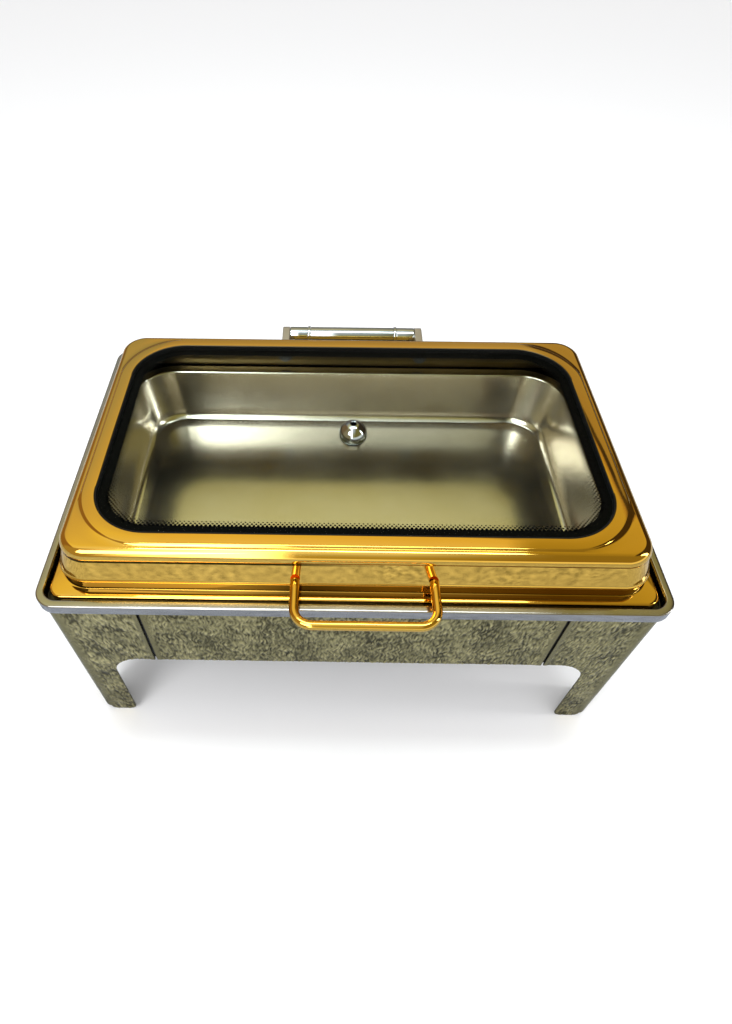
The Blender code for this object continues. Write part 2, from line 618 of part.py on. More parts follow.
def hole_through_wall(shell, body, x, y, z, radius, turn):
    profile = [(0, -12 * MM), (radius, -12 * MM), (radius, 12 * MM), (0, 12 * MM)]
    cut(shell, place(turned("wall_hole_cutter", "steel_plain", profile, steps=16), body, (x, y, z), turn))


def lid_shell(body):
    shell = loft("lid_shell", "gold_mirror", lid_rows(), ring=True)
    shell.data.transform(Matrix.Translation(-body.location))
    place(shell, body, body.location)
    return shell


def glass(body):
    """Clear window, with a hole for the vent knob's stem."""
    pane_half = grown(WINDOW_HALF, -1.4 * MM)
    rows = [
        (pane_half, WINDOW_CORNER - 1.4 * MM, Z_GLASS_BOTTOM),
        (pane_half, WINDOW_CORNER - 1.4 * MM, Z_GLASS_TOP - 0.5 * MM),
        (grown(pane_half, -0.5 * MM), WINDOW_CORNER - 1.9 * MM, Z_GLASS_TOP),
    ]
    pane = loft("glass", "glass", rows)
    pane.data.transform(Matrix.Translation(-body.location))
    place(pane, body, body.location)
    stem_hole = turned("stem_hole_cutter", "steel_plain",
                       [(0, -9 * MM), (5.3 * MM, -9 * MM), (5.3 * MM, 9 * MM), (0, 9 * MM)], steps=20)
    cut(pane, place(stem_hole, body, (0, KNOB_Y, Z_GLASS_TOP)))


def glass_seal(body):
    """Rubber strip under the glass and round its edge."""
    outer = grown(WINDOW_HALF, -GAP)
    corner = WINDOW_CORNER - GAP
    upright = grown(WINDOW_HALF, -1.1 * MM)
    inner = grown(WINDOW_HALF, -REBATE + 0.5 * MM)
    inner_corner = WINDOW_CORNER - REBATE + 0.5 * MM
    bottom = Z_GLASS_BOTTOM - 0.9 * MM + GAP
    pad_top = Z_GLASS_BOTTOM - GAP
    top = Z_GLASS_TOP + 0.3 * MM
    rows = [
        (inner, inner_corner, bottom),
        (outer, corner, bottom),
        (outer, corner, top),
        (upright, WINDOW_CORNER - 1.1 * MM, top),
        (upright, WINDOW_CORNER - 1.1 * MM, pad_top),
        (inner, inner_corner, pad_top),
    ]
    strip = loft("glass_seal", "black_rubber", rows, ring=True)
    strip.data.transform(Matrix.Translation(-body.location))
    place(strip, body, body.location)


def vent_knob(body):
    """Polished dome with a steam hole down its middle; the stem is clamped through the glass."""
    seal_thickness = 1.5 * MM
    base = seal_thickness + 2 * GAP
    vent = 3 * MM
    vent_mouth = 3.6 * MM
    stem = 5 * MM
    stem_length = 13 * MM
    foot = KNOB_RADIUS - 1.5 * MM
    centre = base + KNOB_RADIUS * 0.15
    first = math.degrees(math.asin((base + 0.8 * MM - centre) / KNOB_RADIUS))
    last = math.degrees(math.acos(vent_mouth / KNOB_RADIUS))
    dome = arc((0, centre), KNOB_RADIUS, first, last, 8)
    profile = [(vent, -stem_length), (stem, -stem_length), (stem, base), (foot, base)]
    profile += dome
    profile.append((vent, dome[-1][1] - 1.2 * MM))
    knob = turned("vent_knob", "chrome", profile, closed=True, steps=22)
    place(knob, body, (0, KNOB_Y, Z_GLASS_TOP))
    seal = washer("knob_seal", "black_rubber", 5.4 * MM, KNOB_RADIUS - 0.6 * MM, seal_thickness)
    place(seal, body, (0, KNOB_Y, Z_GLASS_TOP + GAP))
    under = Z_GLASS_BOTTOM
    place(washer("knob_washer", "steel_polished", 5.4 * MM, 9 * MM, 1.5 * MM), body,
          (0, KNOB_Y, under - 1.5 * MM - GAP))
    nut_outline = arc((0, 0), 9 * MM, 0, 300, 5)
    nut = prism("knob_nut", "steel_polished", nut_outline, 4 * MM)
    place(nut, body, (0, KNOB_Y, under - 1.5 * MM - 4 * MM - 2 * GAP))
    bore = turned("nut_bore_cutter", "steel_plain",
                  [(0, -3 * MM), (5.3 * MM, -3 * MM), (5.3 * MM, 9 * MM), (0, 9 * MM)], steps=20)
    cut(nut, place(bore, body, (0, KNOB_Y, under - 1.5 * MM - 4 * MM - 2 * GAP)))


def handle(body, shell):
    """Bent round bar held by a screw and a washer in each end, from inside the lid."""
    radius = HANDLE_BAR / 2
    bend = 16 * MM
    wall = wall_y(HANDLE_RISE)
    start = -wall - radius * math.tan(WALL_LEAN) - GAP
    end = -wall - HANDLE_REACH
    half = HANDLE_SPACING / 2
    path = [(-half, start)]
    path += arc((-half + bend, end + bend), bend, 180, 270, 8)
    path += arc((half - bend, end + bend), bend, 270, 360, 8)
    path.append((half, start))
    curve = bpy.data.curves.new("handle", "CURVE")
    curve.dimensions = "3D"
    spline = curve.splines.new("POLY")
    spline.points.add(len(path) - 1)
    for point, (x, y) in zip(spline.points, path):
        point.co = (x, y, 0, 1)
    curve.bevel_depth = radius
    curve.bevel_resolution = 3
    curve.use_fill_caps = True
    curve.materials.append(material("gold_mirror"))
    bar = bpy.data.objects.new("handle", curve)
    bpy.context.scene.collection.objects.link(bar)
    place(bar, body, (HANDLE_X, 0, Z_HANDLE))
    inner_wall = -wall + PRESSED / math.cos(WALL_LEAN)
    for name, sign in (("left", -1), ("right", 1)):
        x = HANDLE_X + sign * half
        hole_through_wall(shell, body, x, -wall, Z_HANDLE, 2.6 * MM, TOWARDS_FRONT)
        screw_face = inner_wall + 3.4 * MM
        fix = screw("handle_screw_" + name, 4.5 * MM, 2.6 * MM, 2.2 * MM, 1.6 * MM)
        place(fix, body, (x, screw_face, Z_HANDLE), TOWARDS_BACK)
        ring = washer("handle_washer_" + name, "steel_polished", 2.6 * MM, 7 * MM, 1.2 * MM)
        place(ring, body, (x, screw_face - GAP, Z_HANDLE), TOWARDS_FRONT)


def hinge(lid_body, pan_body, shell):
    """Damped hinge: the middle tube is fixed to the water pan, the ends turn with the lid."""
    collar = 3 * MM
    tube_half = 51 * MM
    tube_wall = 2 * MM
    inside = HINGE_RADIUS - tube_wall
    shaft_radius = 4 * MM
    arm_width = 9 * MM

    def sleeve_profile(length, radius):
        return [(inside, -length / 2), (radius, -length / 2), (radius, length / 2), (inside, length / 2)]

    tube = turned("hinge_tube", "chrome", sleeve_profile(2 * tube_half, HINGE_RADIUS), closed=True)
    place(tube, pan_body, (HINGE_X, HINGE_Y, Z_HINGE), ALONG_X)
    sleeve_length = HINGE_HALF - tube_half - collar - 3 * GAP
    for name, sign in (("left", -1), ("right", 1)):
        ring = turned("hinge_collar_" + name, "chrome", sleeve_profile(collar, HINGE_RADIUS + 1 * MM), closed=True)
        place(ring, pan_body, (HINGE_X + sign * (tube_half + GAP + collar / 2), HINGE_Y, Z_HINGE), ALONG_X)
        sleeve = turned("hinge_sleeve_" + name, "chrome", sleeve_profile(sleeve_length, HINGE_RADIUS), closed=True)
        sleeve_x = HINGE_X + sign * (tube_half + 2 * GAP + collar + sleeve_length / 2)
        place(sleeve, lid_body, (sleeve_x, HINGE_Y, Z_HINGE), ALONG_X)
        hinge_arm(name, sign, arm_width, lid_body, shell)
    shaft_half = HINGE_HALF + arm_width - 1 * MM
    shaft = turned("hinge_shaft", "steel_polished", [
        (0, -shaft_half), (shaft_radius, -shaft_half), (shaft_radius, shaft_half), (0, shaft_half)])
    place(shaft, lid_body, (HINGE_X, HINGE_Y, Z_HINGE), ALONG_X)
    hinge_mount(pan_body)


def hinge_arm(name, sign, width, body, shell):
    """Arm from the lid's rear wall to the hinge shaft, with a pad that is screwed to the wall."""
    inner_x = HINGE_X + sign * (HINGE_HALF + GAP)
    centre_x = inner_x + sign * width / 2
    eye = HINGE_RADIUS
    wall = wall_y(HINGE_RISE)
    reach = wall + 1.6 * MM - HINGE_Y
    lower = -9 * MM
    upper = 8 * MM
    slope = math.tan(WALL_LEAN)
    outline = arc((0, 0), eye, -90, 90, 10)
    outline += [(reach - upper * slope, upper), (reach - lower * slope, lower)]
    arm = prism("hinge_arm_" + name, "steel_satin", outline, width)
    arm.data.transform(Matrix(((0, 0, 1, -width / 2), (1, 0, 0, 0), (0, 1, 0, 0), (0, 0, 0, 1))))
    place(arm, body, (centre_x, HINGE_Y, Z_HINGE))
    bore = turned("arm_bore_cutter", "steel_plain",
                  [(0, -9 * MM), (4.3 * MM, -9 * MM), (4.3 * MM, 9 * MM), (0, 9 * MM)], steps=TURN_STEPS)
    cut(arm, place(bore, body, (centre_x, HINGE_Y, Z_HINGE), ALONG_X))
    pocket = turned("arm_screw_cutter", "steel_plain",
                    [(0, -12 * MM), (2.3 * MM, -12 * MM), (2.3 * MM, 12 * MM), (0, 12 * MM)], steps=16)
    screw_z = Z_HINGE - 0.5 * MM
    cut(arm, place(pocket, body, (centre_x, wall, screw_z), TOWARDS_FRONT))
    hole_through_wall(shell, body, centre_x, wall, screw_z, 2.6 * MM, TOWARDS_FRONT)
    face = wall - PRESSED / math.cos(WALL_LEAN) - 3.4 * MM
    fix = screw("hinge_screw_" + name, 4.5 * MM, 2.6 * MM, 2 * MM, 10 * MM)
    place(fix, body, (centre_x, face, screw_z), TOWARDS_FRONT)
    ring = washer("hinge_washer_" + name, "steel_polished", 2.6 * MM, 8 * MM, 1 * MM)
    place(ring, body, (centre_x, face + GAP, screw_z), TOWARDS_BACK)


def hinge_mount(body):
    """Bracket from the back of the rim up to the fixed tube, held by two screws."""
    thickness = 2.5 * MM
    half_length = 40 * MM
    back = RIM_HALF[1] + GAP
    bottom = Z_RIM - 9.5 * MM
    saddle = HINGE_RADIUS + GAP
    outline = [(back, bottom), (back + thickness, bottom), (back + thickness, Z_RIM + 0.5 * MM)]
    outline += arc((HINGE_Y, Z_HINGE), saddle + thickness, 245, 250, 1)
    outline += reversed(arc((HINGE_Y, Z_HINGE), saddle, 190, 250, 6))
    outline.append((back, Z_HINGE - saddle * math.sin(math.radians(10))))
    bracket = prism("hinge_mount", "steel_satin", outline, 2 * half_length)
    bracket.data.transform(Matrix(((0, 0, 1, HINGE_X - half_length), (1, 0, 0, 0), (0, 1, 0, 0), (0, 0, 0, 1))))
    bracket.data.transform(Matrix.Translation(-body.location))
    place(bracket, body, body.location)
    pan = bpy.data.objects["water_pan"]
    for name, sign in (("left", -1), ("right", 1)):
        x = HINGE_X + sign * 28 * MM
        z = Z_RIM - 5.5 * MM
        for target in (bracket, pan):
            hole = turned("mount_hole_cutter", "steel_plain",
                          [(0, -4 * MM), (2.3 * MM, -4 * MM), (2.3 * MM, 4 * MM), (0, 4 * MM)], steps=16)
            cut(target, place(hole, body, (x, RIM_HALF[1], z), TOWARDS_FRONT))
        fix = screw("hinge_mount_screw_" + name, 3.6 * MM, 2.2 * MM, 2 * MM, 5 * MM)
        place(fix, body, (x, back + thickness + GAP, z), TOWARDS_BACK)


# ---------------------------------------------------------------- assembly
def main():
    clear_scene()
    stand_frame()
    legs()
    panels()
    fuel_shelf()
    fuel_holder("fuel_holder_left", "fuel_cover_left", "fuel_pin_left", -1)
    fuel_holder("fuel_holder_right", "fuel_cover_right", "fuel_pin_right", 1)
    pan_body = body_empty("water_pan_body", (0, 0, Z_RIM))
    water_pan(pan_body)
    food_body = body_empty("food_pan_body", (0, 0, Z_RIM))
    food_pan(food_body)
    lid_body = body_empty("lid_body", (HINGE_X, HINGE_Y, Z_HINGE))
    shell = lid_shell(lid_body)
    glass(lid_body)
    glass_seal(lid_body)
    vent_knob(lid_body)
    handle(lid_body, shell)
    hinge(lid_body, pan_body, shell)


main()
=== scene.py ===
"""Looks of the roll top chafer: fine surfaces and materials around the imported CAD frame.

Metres, +Z up, the origin on the table under the middle of the lid.
"""

import math

import bmesh
import bpy
from mathutils import Matrix, Vector, noise

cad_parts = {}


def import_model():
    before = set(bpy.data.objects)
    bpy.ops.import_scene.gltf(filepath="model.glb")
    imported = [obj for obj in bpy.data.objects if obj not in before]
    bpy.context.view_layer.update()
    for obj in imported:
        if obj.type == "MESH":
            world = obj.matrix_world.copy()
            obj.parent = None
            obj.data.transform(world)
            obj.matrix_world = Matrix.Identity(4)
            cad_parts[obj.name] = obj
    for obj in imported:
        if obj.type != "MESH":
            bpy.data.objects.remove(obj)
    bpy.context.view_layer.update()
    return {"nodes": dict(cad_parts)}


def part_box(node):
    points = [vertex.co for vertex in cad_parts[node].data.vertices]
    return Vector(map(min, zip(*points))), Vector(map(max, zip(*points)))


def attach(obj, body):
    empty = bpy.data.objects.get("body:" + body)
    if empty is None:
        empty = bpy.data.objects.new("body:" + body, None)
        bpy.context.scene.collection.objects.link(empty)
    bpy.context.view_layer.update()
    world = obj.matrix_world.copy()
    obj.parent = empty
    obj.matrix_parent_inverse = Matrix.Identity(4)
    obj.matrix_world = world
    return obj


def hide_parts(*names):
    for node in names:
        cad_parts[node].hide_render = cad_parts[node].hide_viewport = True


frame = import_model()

MM = 0.001

# ---------------------------------------------------------------- sizes read from the frame
RIM_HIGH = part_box("water_pan")[1]
LID_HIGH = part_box("lid_shell")[1]
GLASS_LOW, GLASS_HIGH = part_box("glass")
SEAL_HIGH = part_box("glass_seal")[1]
PAN_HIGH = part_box("food_pan")[1]
LEG_LOW, LEG_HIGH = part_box("leg_front_right")
PANEL_LOW, PANEL_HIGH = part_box("front_panel")
SIDE_LOW, SIDE_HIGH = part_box("right_panel")
HANDLE_LOW, HANDLE_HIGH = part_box("handle")
KNOB_LOW, KNOB_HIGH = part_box("vent_knob")

Z_RIM = RIM_HIGH.z
Z_LEDGE = Z_RIM - 10.5 * MM  # carries the food pan and the lid
RIM_HALF = (RIM_HIGH.x, RIM_HIGH.y)
WINDOW_HALF = (SEAL_HIGH.x + 0.3 * MM, SEAL_HIGH.y + 0.3 * MM)
WINDOW_CORNER = 54 * MM
FLANGE_HALF = (LID_HIGH.x, LID_HIGH.y)
Z_LID = LID_HIGH.z
PAN_HALF = (PAN_HIGH.x, PAN_HIGH.y)
STAND_HALF = (LEG_HIGH.x, -LEG_LOW.y)
STAND_TOP = LEG_HIGH.z
PANEL_BOTTOM = PANEL_LOW.z
SHEET = 2 * MM    # stand
PRESSED = 1 * MM  # lid and food pan
CORNER_STEPS = 22

# ---------------------------------------------------------------- sizes of the lid's profile
SHOULDER_HALF = (262 * MM, 160 * MM)
SHOULDER_CORNER = 27 * MM
TOP_CORNER = 17.5 * MM
WALL_HALF = (267.5 * MM, 165.5 * MM)
CREASE = 12 * MM
BAND_FALL = 0.6 * MM
STEP = 1.4 * MM
REBATE = 6.5 * MM
STEP_CORNER = WINDOW_CORNER + 10 * MM  # the step widens in the corners
UNDERCUT = 0.9 * MM                   # depth of the fold where the roll meets the wall
SHOULDER_RISE = 30.5 * MM             # lower end of the roll, above the rim
UNDERCUT_RISE = 29.2 * MM             # above the rim


# ---------------------------------------------------------------- mesh helpers
def add(name, data):
    """Bring new data into the scene as an object."""
    made = bpy.data.objects.new(name, data)
    bpy.context.scene.collection.objects.link(made)
    return made


def smooth(mesh, sharp_angle):
    """Shade a mesh smooth, but for edges sharper than an angle in degrees."""
    mesh.shade_smooth()
    mesh.set_sharp_from_angle(angle=math.radians(sharp_angle))


def finish_mesh(bm, name, finish, sharp_angle=50):
    bmesh.ops.recalc_face_normals(bm, faces=bm.faces)
    mesh = bpy.data.meshes.new(name)
    bm.to_mesh(mesh)
    bm.free()
    smooth(mesh, sharp_angle)
    mesh.materials.append(finish)
    return add(name, mesh)


def arc(centre, radius, start, end, steps):
    """Points on an arc, angles in degrees."""
    points = []
    for step in range(steps + 1):
        angle = math.radians(start + (end - start) * step / steps)
        points.append((centre[0] + radius * math.cos(angle), centre[1] + radius * math.sin(angle)))
    return points


def rounded_rectangle(half, corner):
    points = []
    for start, sign_x, sign_y in ((0, 1, 1), (90, -1, 1), (180, -1, -1), (270, 1, -1)):
        centre = (sign_x * (half[0] - corner), sign_y * (half[1] - corner))
        points += arc(centre, corner, start, start + 90, CORNER_STEPS)
    return points


def grown(half, amount):
    return (half[0] + amount, half[1] + amount)


def soften(rows, ring=False, steps=4):
    """Fillet a profile. A row is (half size, corner radius, height, fillet)."""
    flat = [(half[0], half[1], corner, height, fillet) for half, corner, height, fillet in rows]
    out = []
    for i, row in enumerate(flat):
        if (not ring and i in (0, len(flat) - 1)) or row[4] == 0:
            out.append(row)
            continue
        before = flat[i - 1]
        after = flat[(i + 1) % len(flat)]
        back = math.hypot(before[0] - row[0], before[3] - row[3])
        ahead = math.hypot(after[0] - row[0], after[3] - row[3])
        share_back = min(row[4], 0.48 * back) / back
        share_ahead = min(row[4], 0.48 * ahead) / ahead
        first = [a + (b - a) * share_back for a, b in zip(row, before)]
        last = [a + (b - a) * share_ahead for a, b in zip(row, after)]
        for step in range(steps + 1):
            t = step / steps
            out.append([
                (1 - t) ** 2 * a + 2 * t * (1 - t) * b + t * t * c for a, b, c in zip(first, row, last)
            ])
    return [((row[0], row[1]), row[2], row[3]) for row in out]


def loft(name, finish, rows, ring=False):
    """Rounded rectangles joined by quads. A row is (half size, corner radius, height)."""
    bm = bmesh.new()
    loops = []
    for half, corner, height in rows:
        loops.append([bm.verts.new((x, y, height)) for x, y in rounded_rectangle(half, corner)])
    pairs = list(zip(loops, loops[1:]))
    if ring:
        pairs.append((loops[-1], loops[0]))
    for lower, upper in pairs:
        for i in range(len(lower)):
            bm.faces.new((lower[i - 1], lower[i], upper[i], upper[i - 1]))
    if not ring:
        bm.faces.new(loops[0])
        bm.faces.new(loops[-1])
    return finish_mesh(bm, name, finish)


def turned(name, finish, profile, steps=64, sharp_angle=40):
    """Spin a closed profile of (radius, height) points about Z."""
    bm = bmesh.new()
    verts = [bm.verts.new((radius, 0, height)) for radius, height in profile]
    edges = [bm.edges.new(pair) for pair in zip(verts, verts[1:])]
    edges.append(bm.edges.new((verts[-1], verts[0])))
    bmesh.ops.spin(bm, geom=verts + edges, cent=(0, 0, 0), axis=(0, 0, 1),
                   angle=2 * math.pi, steps=steps, use_merge=True)
    bmesh.ops.remove_doubles(bm, verts=bm.verts, dist=0.002 * MM)
    return finish_mesh(bm, name, finish, sharp_angle)


def extrude(bm, points, move):
    """Solid between a flat outline and the same outline moved."""
    face = bm.faces.new([bm.verts.new(point) for point in points])
    lifted = bmesh.ops.extrude_face_region(bm, geom=[face])["geom"]
    risen = [item for item in lifted if isinstance(item, bmesh.types.BMVert)]
    bmesh.ops.translate(bm, verts=risen, vec=move)


def prism(name, finish, outline, depth, bevel):
    """Extrude an outline in the XY plane up by depth, with its edges bevelled."""
    bm = bmesh.new()
    extrude(bm, [(x, y, 0) for x, y in outline], (0, 0, depth))
    rim = [edge for edge in bm.edges if abs(edge.verts[0].co.z - edge.verts[1].co.z) < 1e-7]
    bmesh.ops.bevel(bm, geom=rim, offset=bevel, segments=3, affect="EDGES", profile=0.5)
    return finish_mesh(bm, name, finish, 35)


def put(piece, body, node=None, location=(0, 0, 0), rotation=(0, 0, 0)):
    """Place a piece, let it ride on a body and let it stand for a CAD node."""
    piece.location = location
    piece.rotation_euler = rotation
    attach(piece, body)
    if node:
        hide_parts(node)
    return piece


# ---------------------------------------------------------------- material helpers
class Nodes:
    """Short calls for the shader nodes used below; self.place is the vector that textures read."""

    def __init__(self, tree, coordinate):
        self.tree = tree
        self.place = self.node("ShaderNodeTexCoord").outputs[coordinate]

    def node(self, kind, **settings):
        made = self.tree.nodes.new(kind)
        for key, value in settings.items():
            setattr(made, key, value)
        return made

    def link(self, source, target):
        self.tree.links.new(source, target)

    def feed(self, socket, source):
        """Link a socket, or give it a plain number or colour."""
        if isinstance(source, tuple):
            socket.default_value = (*source, 1)
        elif isinstance(source, (int, float)):
            socket.default_value = source
        else:
            self.link(source, socket)

    def axes(self):
        split = self.node("ShaderNodeSeparateXYZ")
        self.link(self.place, split.inputs["Vector"])
        return split.outputs

    def noise(self, scale, detail=2.0, stretch=(1, 1, 1), rough=0.5):
        mapping = self.node("ShaderNodeMapping")
        mapping.inputs["Scale"].default_value = stretch
        self.link(self.place, mapping.inputs["Vector"])
        made = self.node("ShaderNodeTexNoise")
        made.inputs["Scale"].default_value = scale
        made.inputs["Detail"].default_value = detail
        made.inputs["Roughness"].default_value = rough
        self.link(mapping.outputs["Vector"], made.inputs["Vector"])
        return made.outputs["Fac"]

    def spread(self, value, low, high, start=0.3, end=0.7):
        """Map a value between start and end to low and high."""
        made = self.node("ShaderNodeMapRange")
        made.inputs["From Min"].default_value = start
        made.inputs["From Max"].default_value = end
        made.inputs["To Min"].default_value = low
        made.inputs["To Max"].default_value = high
        self.link(value, made.inputs["Value"])
        return made.outputs["Result"]

    def math(self, operation, first, second):
        made = self.node("ShaderNodeMath", operation=operation)
        self.feed(made.inputs[0], first)
        self.feed(made.inputs[1], second)
        return made.outputs["Value"]

    def between(self, value, low, high):
        """1 where the value lies between low and high."""
        above = self.math("GREATER_THAN", value, low)
        return self.math("MULTIPLY", above, self.math("LESS_THAN", value, high))

    def mix(self, factor, first, second):
        made = self.node("ShaderNodeMix", data_type="RGBA")
        self.link(factor, made.inputs["Factor"])
        self.feed(made.inputs[6], first)
        self.feed(made.inputs[7], second)
        return made.outputs[2]

    def cloud(self, scale, detail, first, second):
        """Two colours that drift into each other."""
        return self.mix(self.spread(self.noise(scale, detail), 0, 1), first, second)

    def ramp(self, source, stops):
        made = self.node("ShaderNodeValToRGB")
        self.link(source, made.inputs["Fac"])
        elements = made.color_ramp.elements
        elements[0].position, elements[0].color = stops[0][0], (*stops[0][1], 1)
        elements[1].position, elements[1].color = stops[-1][0], (*stops[-1][1], 1)
        for position, colour in stops[1:-1]:
            elements.new(position).color = (*colour, 1)
        return made.outputs["Color"]


class Look(Nodes):
    """A Principled material."""

    def __init__(self, name, metallic):
        self.material = bpy.data.materials.new(name)
        self.material.use_nodes = True
        super().__init__(self.material.node_tree, "Object")
        self.shader = self.tree.nodes["Principled BSDF"]
        self.output = self.tree.nodes["Material Output"]
        self.shader.inputs["Metallic"].default_value = metallic

    def bump(self, height, distance, after=None):
        made = self.node("ShaderNodeBump")
        made.inputs["Distance"].default_value = distance
        made.inputs["Strength"].default_value = 1
        self.link(height, made.inputs["Height"])
        if after:
            self.link(after, made.inputs["Normal"])
        return made.outputs["Normal"]

    def set(self, **sources):
        names = {"colour": "Base Color", "roughness": "Roughness", "normal": "Normal"}
        for key, source in sources.items():
            self.feed(self.shader.inputs[names[key]], source)
        return self.material


def gold_mirror():
    """Polished gold, with painted shade in the groove round the foot of the lid's wall, darkest on the left,
    and on the left also in the fold over it.
    """
    look = Look("gold_mirror_look", metallic=1)
    x, _, z = look.axes()
    # Painted shade: bands by height for the groove round the wall's foot and for the fold over it; the fold
    # only on the left.
    groove = look.between(z, Z_RIM - 4.2 * MM, Z_RIM + 5 * MM)
    fold = look.between(z, Z_RIM + UNDERCUT_RISE - 2.2 * MM, Z_RIM + UNDERCUT_RISE + 0.9 * MM)
    on_left = look.spread(x, 0, 1, 0.03, -0.06)
    fold = look.math("MULTIPLY", fold, on_left)
    waviness = look.bump(look.noise(9, 1), 0.9 * MM)
    orange_peel = look.bump(look.noise(260, 2), 0.004 * MM, after=waviness)
    haze = look.spread(look.noise(22, 4), 0.03, 0.075)
    tone = look.cloud(6, 2, (0.84, 0.505, 0.088), (0.91, 0.57, 0.115))
    # Colours of the painted shade in the groove, darker on the left, and in the fold.
    groove_shade_tone = look.mix(on_left, (0.24, 0.15, 0.03), (0.05, 0.034, 0.006))
    shaded = look.mix(fold, look.mix(groove, tone, groove_shade_tone), (0.07, 0.045, 0.008))
    return look.set(colour=shaded, roughness=haze, normal=orange_peel)


def gold_inside_painted_shade():
    """Inner skin of the lid: unpolished, with a very dark base colour that is painted shade inside the lid
    and under its bead.
    """
    look = Look("gold_inside_painted_shade_look", metallic=1)
    # Painted shade: the dark base colour stands for the shade inside the lid.
    tone = look.cloud(16, 3, (0.09, 0.066, 0.028), (0.13, 0.095, 0.042))
    roughness = look.spread(look.noise(40, 4), 0.30, 0.44)
    return look.set(colour=tone, roughness=roughness, normal=look.bump(look.noise(500, 2), 0.01 * MM))


def steel_polished():
    look = Look("steel_polished_look", metallic=1)
    grain = look.noise(1, 2, (90, 90, 5200))
    normal = look.bump(grain, 0.006 * MM)
    roughness = look.spread(look.noise(30, 4), 0.12, 0.24)
    tone = look.cloud(8, 2, (0.72, 0.73, 0.75), (0.82, 0.82, 0.81))
    return look.set(colour=tone, roughness=roughness, normal=normal)


def rim_steel():
    """Steel of the water pan, with painted shade along the ledge inside its rim."""
    look = Look("rim_steel_look", metallic=1)
    x, y, z = look.axes()
    # Painted shade: a dark band at the ledge's height, inside the rim.
    below = look.between(z, Z_LEDGE - 2 * MM, Z_RIM - 4 * MM)
    inside_x = look.between(x, 2.5 * MM - RIM_HALF[0], RIM_HALF[0] - 2.5 * MM)
    inside_y = look.between(y, 2.5 * MM - RIM_HALF[1], RIM_HALF[1] - 2.5 * MM)
    shade = look.math("MULTIPLY", below, look.math("MULTIPLY", inside_x, inside_y))
    tone = look.cloud(8, 3, (0.37, 0.36, 0.335), (0.46, 0.45, 0.43))
    roughness = look.spread(look.noise(30, 4), 0.12, 0.24)
    normal = look.bump(look.noise(1, 2, (90, 90, 5200)), 0.006 * MM)
    return look.set(colour=look.mix(shade, tone, (0.04, 0.04, 0.038)), roughness=roughness, normal=normal)


def steel_satin():
    look = Look("steel_satin_look", metallic=1)
    grain = look.noise(1, 3, (45, 3600, 3600), rough=0.65)
    normal = look.bump(grain, 0.008 * MM)
    cloud = look.noise(14, 5)
    roughness = look.spread(cloud, 0.16, 0.23)
    tone = look.mix(look.spread(cloud, 0, 1), (0.785, 0.74, 0.665), (0.865, 0.82, 0.735))
    return look.set(colour=tone, roughness=roughness, normal=normal)


def steel_plain():
    look = Look("steel_plain_look", metallic=1)
    normal = look.bump(look.noise(700, 3), 0.01 * MM)
    roughness = look.spread(look.noise(25, 5), 0.38, 0.58)
    tone = look.cloud(12, 4, (0.05, 0.05, 0.05), (0.12, 0.12, 0.12))
    return look.set(colour=tone, roughness=roughness, normal=normal)


def chrome():
    look = Look("chrome_look", metallic=1)
    normal = look.bump(look.noise(300, 2), 0.002 * MM)
    roughness = look.spread(look.noise(90, 4), 0.03, 0.09)
    tone = look.cloud(30, 3, (0.40, 0.45, 0.48), (0.50, 0.55, 0.58))
    return look.set(colour=tone, roughness=roughness, normal=normal)


def satin_arm():
    look = Look("satin_arm_look", metallic=1)
    normal = look.bump(look.noise(1, 2, (3000, 60, 60)), 0.01 * MM)
    roughness = look.spread(look.noise(60, 4), 0.28, 0.40)
    return look.set(colour=(0.62, 0.61, 0.57), roughness=roughness, normal=normal)


def black_rubber():
    look = Look("black_rubber_look", metallic=0)
    look.shader.inputs["Specular IOR Level"].default_value = 0.12
    normal = look.bump(look.noise(900, 3), 0.02 * MM)
    roughness = look.spread(look.noise(80, 3), 0.38, 0.6)
    return look.set(colour=(0.008, 0.008, 0.008), roughness=roughness, normal=normal)


def black_print():
    """Ceramic print on the underside of the glass."""
    look = Look("black_print_look", metallic=0)
    look.shader.inputs["Specular IOR Level"].default_value = 0.03
    roughness = look.spread(look.noise(400, 3), 0.25, 0.4)
    return look.set(colour=(0.002, 0.002, 0.002), roughness=roughness)


def clear_glass():
    """Thin-glass mix: what lies behind shows, and the surface reflects by its angle."""
    look = Look("clear_glass_look", metallic=0)
    clear = look.node("ShaderNodeBsdfTransparent")
    look.feed(clear.inputs["Color"], (0.93, 0.955, 0.94))
    shine = look.node("ShaderNodeBsdfGlossy")
    smear = look.spread(look.noise(18, 4), 0.004, 0.03)
    look.link(smear, shine.inputs["Roughness"])
    draw_lines = look.bump(look.noise(5, 1), 0.008 * MM)
    look.link(draw_lines, shine.inputs["Normal"])
    facing = look.node("ShaderNodeFresnel")
    facing.inputs["IOR"].default_value = 1.05
    inside = look.node("ShaderNodeNewGeometry").outputs["Backfacing"]
    outside = look.math("SUBTRACT", 1, inside)
    mixed = look.node("ShaderNodeMixShader")
    look.link(look.math("MULTIPLY", facing.outputs["Fac"], outside), mixed.inputs["Fac"])
    look.link(clear.outputs["BSDF"], mixed.inputs[1])
    look.link(shine.outputs["BSDF"], mixed.inputs[2])
    look.link(mixed.outputs["Shader"], look.output.inputs["Surface"])
    look.tree.nodes.remove(look.shader)
    return look.material


